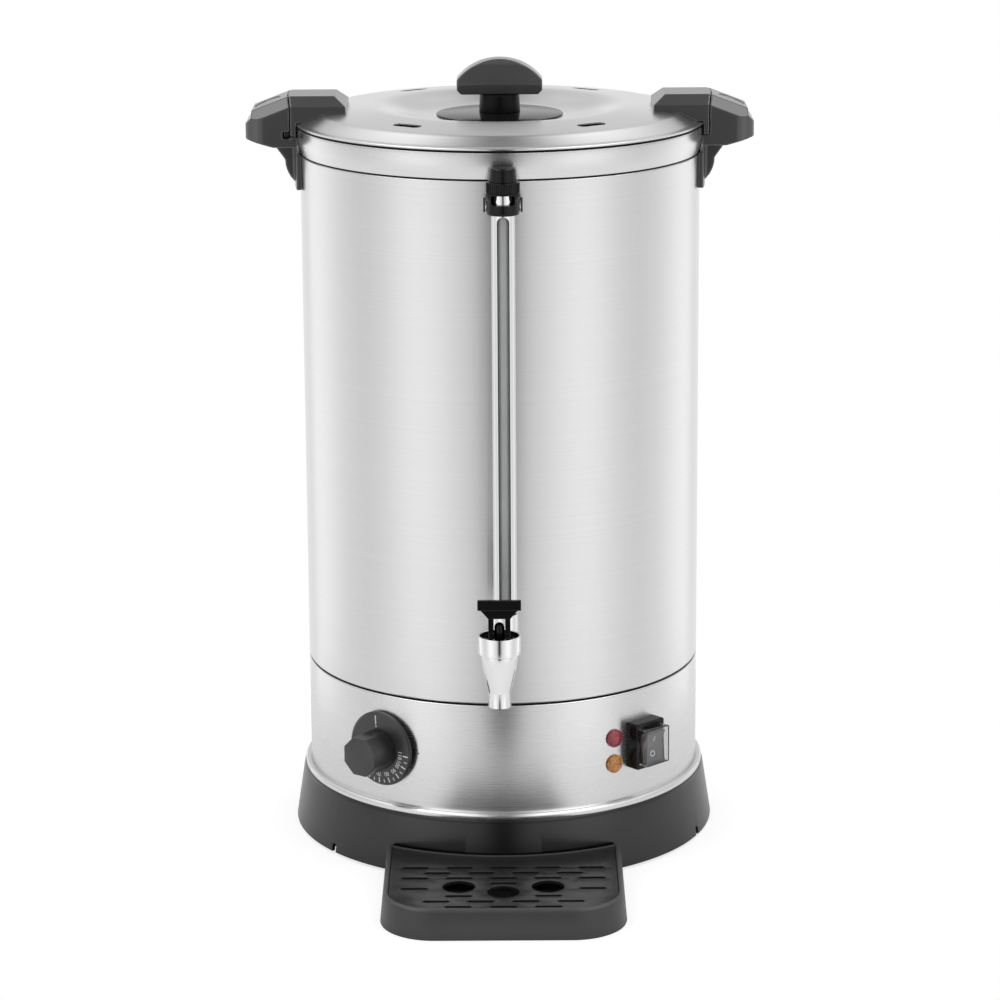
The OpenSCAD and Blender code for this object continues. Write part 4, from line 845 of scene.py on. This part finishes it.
for side, word in ((-1, "left"), (1, "right")):
    recess = placed(lens(10.6, 12.6, -1.6, 6), pad_place(side))
    grip = worn(carved(solid_of("handle_" + word), recess), 0.7, 3)
    piece("grip_" + word, grip, "urn", "dark_plastic", ["handle_" + word], GRIP_PLASTIC, sharp=60)
    # A pad sits in a recess on each grip's slope; its light grey stands for the gloss highlight
    # there, as a painted highlight
    pad = bevelled(lens(10.0, 12.0, -1.9, -0.5), 0.6, 3)
    piece("thumb_pad_" + word, placed(pad, pad_place(side)), "urn", "dark_plastic",
          finish=PAD_PAINTED_HIGHLIGHT)
    ear = worn(solid_of("lid_ear_" + word), 0.6, 3)
    piece("ear_" + word, ear, "lid", "dark_plastic", ["lid_ear_" + word], GRIP_PLASTIC, sharp=60)
    pin = turned(softened([(0, -2), (1.5, -2), (1.5, 0.15), (0.9, 0.15), (0.6, -0.15),
                           (0, -0.15)], 0.15), 32)
    piece("ear_pin_" + word, placed(pin, at(side * EAR_PIN_R, -3, TOP_Z - 0.2)), "lid",
          "screw_steel")

# ---------------------------------------------------------------- sight gauge

# The tube's pale grey is painted light in place of clear glass
piece("glass_tube", turned(softened([
    (GLASS_R - 1.2, BOSS_TOP - 8), (GLASS_R, BOSS_TOP - 8), (GLASS_R, NUT_TOP + 5),
    (GLASS_R - 1.2, NUT_TOP + 5)], 0.3), 64, GAUGE), "urn", "glass", ["gauge_tube"], GAUGE_GLASS_PAINTED_LIGHT)

VIEW_W = 9.3
VIEW_TOP = COLLAR_Z - VIEW_W / 2 - 1
view_cut = prism([(-VIEW_W / 2, GUARD_Z - 2)] + arc(0, VIEW_TOP, VIEW_W / 2, 180, 0, 20)
                 + [(VIEW_W / 2, GUARD_Z - 2)], 1, 15)
guard = turned(softened([(GUARD_R - 1, GUARD_Z), (GUARD_R, GUARD_Z), (GUARD_R, COLLAR_TOP),
                         (GUARD_R - 1, COLLAR_TOP)], 0.25), 128, GAUGE)
piece("guard", carved(guard, placed(view_cut, at(GAUGE[0], GAUGE[1], 0) @ across)), "urn",
      "chrome", ["gauge_guard"])

WINDOW_H = 0.46 * COLLAR_H
collar = turned(softened([
    (GUARD_R + 0.05, COLLAR_Z), (COLLAR_R - 0.4, COLLAR_Z), (COLLAR_R, COLLAR_Z + 1.5),
    (COLLAR_R, COLLAR_TOP - 6), (COLLAR_R + 1, COLLAR_TOP - 3.4), (COLLAR_R + 1, COLLAR_TOP - 1.8),
    (COLLAR_R + 0.2, COLLAR_TOP), (GUARD_R + 0.05, COLLAR_TOP)], 0.5), 128, GAUGE)
window = placed(prism(oblong(2 * GUARD_R, WINDOW_H, 2.2), 0, 20),
                at(GAUGE[0], GAUGE[1], COLLAR_TOP - 0.8 - WINDOW_H / 2) @ across)
piece("collar", carved(collar, window), "urn", "black_plastic", ["gauge_collar"])
piece("bracket", solid_of("gauge_bracket"), "urn", "chrome", ["gauge_bracket"])

ridge = turned([(0, COLLAR_TOP + 0.6), (0.55, COLLAR_TOP + 0.6), (0.55, NUT_TOP - 0.6),
                (0, NUT_TOP - 0.6)], 8)
ridges = placed(ring_of(ridge, 44, 0, 360 / 44, COLLAR_R - 0.38, FINISH["black_plastic"]),
                at(*GAUGE, 0))
nut = turned(softened([(GLASS_R + 0.3, COLLAR_TOP), (COLLAR_R - 0.35, COLLAR_TOP),
                       (COLLAR_R - 0.35, NUT_TOP), (GLASS_R + 0.3, NUT_TOP)], 0.6), 96, GAUGE)
piece("knurled_nut", joined(nut, ridges), "urn", "black_plastic", ["gauge_knurled_nut"])
cap_profile = softened([(GLASS_R + 0.3, NUT_TOP), (10.6, NUT_TOP), (10.4, NUT_TOP + 1.4),
                        (9.6, CAP_TOP), (0, CAP_TOP), (0, NUT_TOP + 5.6),
                        (GLASS_R + 0.3, NUT_TOP + 5.6)], 2.2, 6, only=[1, 2, 3])
piece("cap", turned(cap_profile, 96, GAUGE), "urn", "black_plastic", ["gauge_cap"])

GLAND_R = GUARD_R + 1.2
hexagon = arc(0, 0, GLAND_R, 0, 300, 5)
dome = turned(softened([(0, 0), (GLAND_R, 0.6), (GLAND_R, 9.4), (GLAND_R - 1.6, 10), (0, 10)],
                       0.3), 96)
gland_bore = turned([(0, -1), (GLASS_R + 0.3, -1), (GLASS_R + 0.3, 11), (0, 11)], 48)
gland = carved(carved(prism(hexagon, 0, 10), dome, how="INTERSECT"), gland_bore)
piece("gland_nut", placed(gland, at(*GAUGE, BOSS_TOP)), "urn", "chrome", ["gauge_gland_nut"])

# ---------------------------------------------------------------- tap

CUP_R = 14.2
CONE_BOW = 0.6
SPOUT_R = 8.6
SHANK_R, SHANK_BORE = 9.6, 6.5
SHANK_START, SHANK_END = 136, 201.5
FLANGE_R, FLANGE_START, FLANGE_END = 15.5, 160, 163.5
BONNET_R, BONNET_TOP = 16.1, CUP_Z + 14.5


def cup_line(t):
    """Radius of the cup's cone at a share t of its height."""
    bowed = (1 - CONE_BOW) * t + CONE_BOW * math.sin(math.pi / 2 * t)
    return SPOUT_R + (CUP_R - SPOUT_R) * bowed


cup_profile = ([(5.5, SPOUT_Z + 0.4), (6.0, SPOUT_Z), (7.6, SPOUT_Z), (8.1, SPOUT_Z + 0.25),
                (SPOUT_R, SPOUT_Z + 0.8), (SPOUT_R, CONE_Z - 0.3)]
               + [(cup_line(t), CONE_Z + (CUP_Z - CONE_Z) * t) for t in
                  [0.02 + 0.97 * i / 18 for i in range(19)]]
               + [(CUP_R - 0.1, CUP_Z), (9.5, CUP_Z), (9.5, SEAT_Z + 3), (5.5, SEAT_Z)])
cup = turned(cup_profile, 144, TAP)


def shank_turn(profile, sides=96):
    """A piece turned about the shank's axis, its heights measured out from the body's axis."""
    return placed(turned(profile, sides), facing(0, SHANK_Z, 0, TAP[0]))


shank = shank_turn(softened([
    (SHANK_BORE, SHANK_START), (SHANK_R, SHANK_START), (SHANK_R, FLANGE_START),
    (FLANGE_R, FLANGE_START), (FLANGE_R, FLANGE_END), (SHANK_R, FLANGE_END),
    (SHANK_R, SHANK_END), (SHANK_BORE, SHANK_END)], 0.7))
boss = turned([(4.0, SHANK_Z), (10.0, SHANK_Z), (10.0, BOSS_TOP), (4.0, BOSS_TOP)], 96, GAUGE)
piece("tap_casting", carved(cup, shank, boss, how="UNION"), "urn", "chrome",
      ["tap_body"], sharp=38)
piece("bonnet", turned(softened([
    (3.1, CUP_Z - 4), (9.45, CUP_Z - 4), (9.45, CUP_Z), (BONNET_R, CUP_Z),
    (BONNET_R, BONNET_TOP), (14.8, BONNET_TOP), (14.8, WEB_Z), (3.1, WEB_Z)], 0.5), 144, TAP),
    "urn", "chrome", ["tap_bonnet"])
piece("stem", turned(
    [(0, SEAT_Z + 4.5), (3, SEAT_Z + 4.5), (3, WEB_Z + 2), (3.8, WEB_Z + 2)]
    + arc(0, WEB_Z + 18.2, 3.8, 0, 90), 64, TAP), "tap_stem", "black_plastic", ["tap_stem"])

# The spring is held at its top, and gets a mesh of its own
spring = piece("return_spring", solid_of("tap_spring"), "urn", "spring_steel", ["tap_spring"])
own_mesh(spring)
piece("lever", worn(solid_of("tap_lever"), 0.3, 3), "tap_lever", "black_plastic", ["tap_lever"],
      sharp=60)

# ---------------------------------------------------------------- dial

dial_place = facing(DIAL_ANGLE, DIAL_Z, BODY)
DIAL_GAP = 2.0
DIAL_FACE_R = 28.6
DIAL_HUB_R = 17.4
DIAL_GRIP_R = 16.4
DIAL_TOP = 31.0
NUMBER_R, NUMBER_SIZE = 20.4, 4.9
face_low, face_high = DIAL_GAP + 2.6, DIAL_GAP + 4.0
face_slope = (face_high - face_low) / (DIAL_FACE_R - DIAL_HUB_R)
dial_skirt = turned(softened([
    (0, DIAL_GAP), (DIAL_R, DIAL_GAP), (DIAL_R, DIAL_GAP + 1.6), (DIAL_FACE_R, face_low),
    (DIAL_HUB_R, face_high), (0, face_high)], 0.5), 128)
octagon = arc(0, 0, DIAL_GRIP_R, 22.5, 337.5, 7)
dial_grip = bevelled(prism(octagon, DIAL_GAP + 3, DIAL_TOP), 0.7, 3)
piece("dial", placed(joined(dial_skirt, dial_grip), dial_place), "dial", "dark_plastic",
      ["dial_knob"], DIAL_PLASTIC)


def face_height(r):
    """Height of the dial's face at a radius."""
    return face_low + (DIAL_FACE_R - r) * face_slope


def lettered(text, size, matrix, deep=0.12):
    """A short mark as raised print, centred where the matrix puts it."""
    curve = bpy.data.curves.new("mark", "FONT")
    curve.body, curve.size = text, size
    curve.align_x, curve.align_y = "CENTER", "CENTER"
    curve.extrude = deep / 2
    return placed(settled(in_scene("mark", curve)), matrix)


FIRST_MARK = -4.0
MARK_STEP = 22.0
TOP_MARK = 99.0
tilt = math.atan(face_slope)


def on_face(angle, r, turn=0.0):
    """A place on the dial's face: +Y outwards from its centre, +Z off the face."""
    return (Matrix.Rotation(math.radians(angle - 90), 4, "Z") @ at(0, r, face_height(r) + 0.04)
            @ Matrix.Rotation(-tilt, 4, "X") @ Matrix.Rotation(turn, 4, "Z"))


marks = [lettered(str(110 - 10 * k), NUMBER_SIZE, on_face(FIRST_MARK - MARK_STEP * k, NUMBER_R))
         for k in range(9)]


def ticks(long, wide, r, count, first):
    """A row of printed lines across the dial's face, at a radius."""
    bar = prism([(-long / 2, -wide / 2), (long / 2, -wide / 2), (long / 2, wide / 2),
                 (-long / 2, wide / 2)], -0.02, 0.1)
    placed(bar, at(0, 0, face_height(r)) @ Matrix.Rotation(tilt, 4, "Y"))
    return ring_of(bar, count, first, -MARK_STEP, r, PRINT)


marks += [ticks(4.4, 1.0, 25.6, 9, FIRST_MARK),
          ticks(2.6, 0.7, 26.2, 8, FIRST_MARK - MARK_STEP / 2),
          ticks(7.0, 0.9, 23.6, 1, TOP_MARK)]
marks.append(lettered("o", 3.6, on_face(TOP_MARK, 18.8)))
piece("dial_print", placed(joined(*marks), dial_place), "dial", "pale_plastic", finish=PRINT,
      sharp=30)
index_dot = turned(softened([(0, -0.1), (0.7, -0.1), (0.7, 0.08), (0, 0.08)], 0.05), 24)
piece("index_dot", placed(index_dot, facing(DOT_ANGLE, DIAL_Z, BODY)), "urn", "black_plastic")

# ---------------------------------------------------------------- switch and lamps

piece("switch_bezel", worn(solid_of("switch_frame"), 0.35, 2), "urn", "black_plastic",
      ["switch_frame"], sharp=60)
COVER_W, COVER_H, COVER_OUT, COVER_T = 25.2, 29.8, 8.6, 1.0
COVER_FOOT = BODY + 10.5
# The cover's rounded edges take the near white finish: a painted highlight
cover = bevelled(prism(oblong(COVER_W, COVER_H, 1.2, 3), 0, COVER_OUT), 0.45, 3, 40, 1)
hollow = prism(oblong(COVER_W - 2 * COVER_T, COVER_H - 2 * COVER_T, 0.6, 3), -1,
               COVER_OUT - COVER_T)
piece("splash_cover", placed(carved(cover, hollow), facing(SWITCH_ANGLE, SWITCH_Z, COVER_FOOT)),
      "urn", "clear_cover", ["switch_cover"], edge=COVER_EDGE_GLINT)
piece("rocker_key", worn(solid_of("rocker"), 0.3, 2), "rocker", "black_plastic", ["rocker"],
      KEY_PLASTIC, sharp=60)
# The key leans about its pin, and its two faces fall towards the middle
PIN_OUT, KEY_LEAN = BODY + 5, 8
KEY_FALL, KEY_HALF = 2.4, 12.3
KEY_MARK_SIZE, KEY_MARK_Y, KEY_MARK_OUT = 6.5, 6.2, 8.82
key_place = (facing(SWITCH_ANGLE, SWITCH_Z, PIN_OUT)
             @ Matrix.Rotation(math.radians(KEY_LEAN), 4, "X"))
key_slope = math.atan(KEY_FALL / KEY_HALF)
key_marks = [lettered(text, KEY_MARK_SIZE, key_place @ at(0, side * KEY_MARK_Y, KEY_MARK_OUT)
                      @ Matrix.Rotation(side * key_slope, 4, "X"))
             for text, side in (("I", 1), ("O", -1))]
piece("rocker_print", joined(*key_marks), "rocker", "pale_plastic", finish=PRINT, sharp=30)

LENS_R = 7.3
DOME_R, DOME_H = 6.0, 1.8
lens_dome = [(r, 1.4 + z * DOME_H / DOME_R) for r, z in arc(0, 0, DOME_R, 10, 80, 7)]
lens_profile = softened([(0, -0.4), (6.2, -0.4), (6.2, 0.3), (LENS_R, 0.3), (LENS_R, 1.2),
                         (LENS_R - 0.8, 1.5), (LENS_R - 1.2, 1.3), *lens_dome, (0, 3.2)], 0.2, 3)
for word, z in (("red", LAMP_Z), ("amber", LAMP_Z - LAMP_PITCH)):
    glow = placed(turned(lens_profile, 72), facing(LAMP_ANGLE, z, BODY + 0.2))
    piece("lamp_" + word, glow, "urn", word + "_lens", [word + "_lamp_lens"])

# ---------------------------------------------------------------- drip tray


def tray_outline(inset, back):
    """Plan of the tray, drawn in by inset, with a back that follows the base."""
    half, front, r = TRAY_HALF - inset, TRAY_FRONT - inset, TRAY_CORNER - inset
    side_y = -math.sqrt(back * back - half * half)
    turn = math.degrees(math.asin(half / back))
    sides = [(half, side_y + (r - front - side_y) * k / 4) for k in range(4)]
    return (sides + arc(half - r, r - front, r, 0, -90, 18)
            + arc(r - half, r - front, r, -90, -180, 18) + [(-x, y) for x, y in reversed(sides)]
            + arc(0, 0, back, -90 - turn, -90 + turn, 32)[1:-1])


def wall(z, extra=0.0):
    """How far the tray's outer wall has leant in at a height."""
    return TRAY_DRAFT * z / TRAY_H + extra


WELL = TRAY_WALL + TRAY_DRAFT
# Inset, back radius and height of the tray's outline, from its foot over the rim to its floor
tray_levels = [(wall(0, 1.2), TRAY_BACK, 0.0), (wall(0.4, 0.4), TRAY_BACK, 0.4),
               (wall(1.2), TRAY_BACK, 1.2), (wall(11), TRAY_BACK, 11.0),
               (wall(20.6), TRAY_BACK, 20.6), (wall(21.8, 0.35), TRAY_BACK, 21.8),
               (wall(22.9, 1.1), TRAY_BACK, 22.9), (wall(23.6, 2.0), TRAY_BACK + 0.2, 23.6),
               (wall(24, 3.2), TRAY_BACK + 0.8, 24.0), (WELL - 0.9, TRAY_BACK + 2.0, 24.0),
               (WELL - 0.5, TRAY_BACK + 2.3, 23.6), (WELL - 0.5, TRAY_BACK + 2.3, GRID_Z),
               (WELL + 1.6, TRAY_BACK + TRAY_WALL, GRID_Z),
               (WELL + 1.6, TRAY_BACK + TRAY_WALL, TRAY_FLOOR + 1.5),
               (WELL + 3.0, TRAY_BACK + TRAY_WALL + 1.4, TRAY_FLOOR)]
tray_shell = stacked([(tray_outline(inset, back), z) for inset, back, z in tray_levels])
tongue_front, tongue_back = -TRAY_BACK - 3, -SHELF_R - 9
tongue_side = TONGUE_W / 2
tongue = bevelled(prism([(-tongue_side, tongue_front), (tongue_side, tongue_front),
                         (tongue_side, tongue_back), (-tongue_side, tongue_back)],
                        TONGUE_Z - TONGUE_T / 2, TONGUE_Z + TONGUE_T / 2), 0.8)
piece("tray", joined(tray_shell, tongue), "tray", "dark_plastic", ["drip_tray"],
      TRAY_PLASTIC, sharp=40)


def spots(points):
    """A passing mesh of single points."""
    bm = bmesh.new()
    for x, y in points:
        bm.verts.new((x, y, 0))
    return loose(bm)


def wire(points):
    """A passing mesh of one closed line."""
    bm = bmesh.new()
    corners = [bm.verts.new((x, y, 0)) for x, y in points]
    for k in range(len(corners)):
        bm.edges.new((corners[k - 1], corners[k]))
    return loose(bm)


front_row = TRAY_FRONT - 11
back_row = TRAY_BACK + 26
drain_rows = [(back_row, (-4, -2, 0, 2, 4)), (back_row + ROW, (-3, -1, 1, 3)),
              (back_row + 2 * ROW, (-4, -2, 0, 2, 4)), (back_row + 3 * ROW, (0,)),
              (back_row + 4 * ROW, (-4, 4)), (front_row - 2 * ROW, (-2, 2)),
              (front_row - ROW, (-3, -1, 1, 3)), (front_row, (-2, 0, 2))]
grid_parts = {
    "Outline": wire(tray_outline(WELL, TRAY_BACK + TRAY_WALL - 1.6)),
    "Slots": spots([(c * COLUMN, -y) for y, row in drain_rows for c in row]),
    "Holes": spots([(c * 2 * COLUMN, 42 - TRAY_FRONT + abs(c) * ROW) for c in (-1, 0, 1)])}
grid_face = grown(make_drain_tree(), {**grid_parts, "Length": 22.0, "Width": 4.0,
                                      "Hole radius": 12.6, "Finish": GRID_PLASTIC})
for used in grid_parts.values():
    bpy.data.objects.remove(used)
bmesh.ops.remove_doubles(grid_face, verts=grid_face.verts, dist=1e-3)
thick = bmesh.ops.extrude_face_region(grid_face, geom=grid_face.faces[:])["geom"]
bmesh.ops.translate(grid_face, vec=(0, 0, GRID_T),
                    verts=[v for v in thick if isinstance(v, bmesh.types.BMVert)])
piece("grid", placed(bevelled(outward(grid_face), 0.45, 3, 40), at(0, 0, GRID_Z)), "grid",
      "dark_plastic", ["drip_grid"], GRID_PLASTIC, sharp=40)

# ---------------------------------------------------------------- back

gland_body = turned(softened([
    (3.6, -8), (7.9, -8), (7.9, -7), (10, -7), (10, -3), (7.9, -3), (7.9, 0), (11, 0), (10, 3),
    (7.4, 3), (5.5, 11), (3.6, 11)], 0.6), 96)
piece("cord_inlet", placed(gland_body, facing(180, GLAND_Z, BODY)), "urn", "black_plastic",
      ["cord_gland"])

# ---------------------------------------------------------------- CAD pieces that stay

slots_of = {row["node"]: row["material_slot"] for row in frame["record"]["subparts"]}
for name, obj in frame["nodes"].items():
    obj.data.materials.clear()
    obj.data.materials.append(FINISH[slots_of[name]])

# ---------------------------------------------------------------- floor and light

FLOOR_R = 0.48
FLOOR_MATT, FLOOR_PALE, FLOOR_WHITE = 0.86, 0.36, 0.74
# Brightness of the studio at the height of the eye, from the front at 0 to the back at 1
STUDIO = [(0.0, 0.03), (0.014, 0.05), (0.035, 0.22), (0.06, 0.48), (0.09, 0.66), (0.145, 0.77),
          (0.20, 0.90), (0.26, 0.98), (0.31, 0.94), (0.40, 0.73), (0.48, 0.65), (0.58, 0.76),
          (0.68, 0.95), (0.77, 1.0), (0.82, 0.72), (0.86, 0.76), (1.0, 1.0)]
STUDIO_GAIN = 1.10
# Brightness overhead, from the middle at 0 outwards to both sides
OVERHEAD = [(0.0, 0.05), (0.04, 0.08), (0.10, 0.30), (0.24, 0.90), (0.6, 1.0), (1.0, 0.9)]
OVERHEAD_GAIN = 1.35
# Share of the wall's brightness that is left at its top, and brightness of the floor around
BACK_WALL = 0.62
FLOOR_GLOW = 0.85
LAMP_POWER, LAMP_SIZE = 7.0, 1.3


def fresh_tree(owner):
    """The emptied node tree of a material or a world."""
    owner.use_nodes = True
    owner.node_tree.nodes.clear()
    return owner.node_tree


def when_seen(tree, other, shown):
    """One shader for the camera, also through glass, and another for everything else."""
    path = add(tree, "ShaderNodeLightPath").outputs
    seen = maths(tree, "MAXIMUM", path["Is Camera Ray"], path["Is Transmission Ray"])
    return add(tree, "ShaderNodeMixShader", {0: seen, 1: other.outputs[0], 2: shown.outputs[0]})


def make_floor():
    """A pale floor that keeps the urn's shadow and runs into the white background."""
    bm = bmesh.new()
    bmesh.ops.create_circle(bm, cap_ends=True, radius=FLOOR_R, segments=128)
    mesh = bpy.data.meshes.new("floor")
    bm.to_mesh(mesh)
    bm.free()
    material = bpy.data.materials.new("floor")
    tree = fresh_tree(material)
    matt = add(tree, "ShaderNodeBsdfDiffuse", {"Color": grey(FLOOR_MATT)})
    pale = add(tree, "ShaderNodeBsdfDiffuse", {"Color": grey(FLOOR_PALE)})
    white = add(tree, "ShaderNodeEmission", {"Color": grey(1.0), "Strength": FLOOR_WHITE})
    shown = add(tree, "ShaderNodeAddShader", {0: pale.outputs[0], 1: white.outputs[0]})
    mix = when_seen(tree, matt, shown)
    add(tree, "ShaderNodeOutputMaterial", {0: mix.outputs[0]})
    mesh.materials.append(material)
    in_scene("floor", mesh)


def ramp_of(tree, value, stops):
    """A grey level read off a list of places and levels."""
    ramp = add(tree, "ShaderNodeValToRGB", {0: value})
    made = ramp.color_ramp.elements
    for place, level in stops[1:-1]:
        made.new(place).color = grey(level)
    made[0].color, made[-1].color = grey(stops[0][1]), grey(stops[-1][1])
    return ramp.outputs[0]


def make_world():
    """A studio with a dark gap in front and overhead, side panels and a wall that dims upwards."""
    world = bpy.data.worlds.new("studio")
    bpy.context.scene.world = world
    tree = fresh_tree(world)
    way = add(tree, "ShaderNodeTexCoord").outputs["Generated"]
    x, y, z = add(tree, "ShaderNodeSeparateXYZ", {0: way}).outputs
    turn = maths(tree, "ABSOLUTE", maths(tree, "ARCTAN2", x, maths(tree, "MULTIPLY", y, -1.0)))
    around = ramp_of(tree, maths(tree, "DIVIDE", turn, math.pi), STUDIO)
    above = ramp_of(tree, maths(tree, "ABSOLUTE", x), OVERHEAD)
    above = maths(tree, "MULTIPLY", above, OVERHEAD_GAIN)
    walls = maths(tree, "MULTIPLY", around,
                  spread(tree, z, STUDIO_GAIN, STUDIO_GAIN * BACK_WALL, 0.0, 0.28))
    low = spread(tree, z, 1.0, 0.0, -0.50, -0.36)
    walls = add(tree, "ShaderNodeMix", {"Factor": low, 2: walls, 3: FLOOR_GLOW}).outputs[0]
    high = spread(tree, z, 0.0, 1.0, 0.42, 0.80)
    level = add(tree, "ShaderNodeMix", {"Factor": high, 2: walls, 3: above}).outputs[0]
    studio = add(tree, "ShaderNodeBackground", {"Color": grey(1.0), "Strength": level})
    white = add(tree, "ShaderNodeBackground", {"Color": grey(1.0), "Strength": 1.0})
    add(tree, "ShaderNodeOutputWorld", {0: when_seen(tree, studio, white).outputs[0]})


def softbox(name, place):
    """A square lamp that looks at the middle of the urn."""
    light = bpy.data.lights.new(name, "AREA")
    light.shape, light.size, light.energy = "SQUARE", LAMP_SIZE, LAMP_POWER
    lamp = in_scene(name, light)
    lamp.location = place
    lamp.rotation_euler = (Vector((0, 0, 0.3)) - lamp.location).to_track_quat("-Z", "Y").to_euler()


make_floor()
make_world()
softbox("left_light", (-1.1, -0.3, 2.3))
softbox("right_light", (1.1, -0.3, 2.3))
bpy.context.scene.view_settings.view_transform = "Standard"
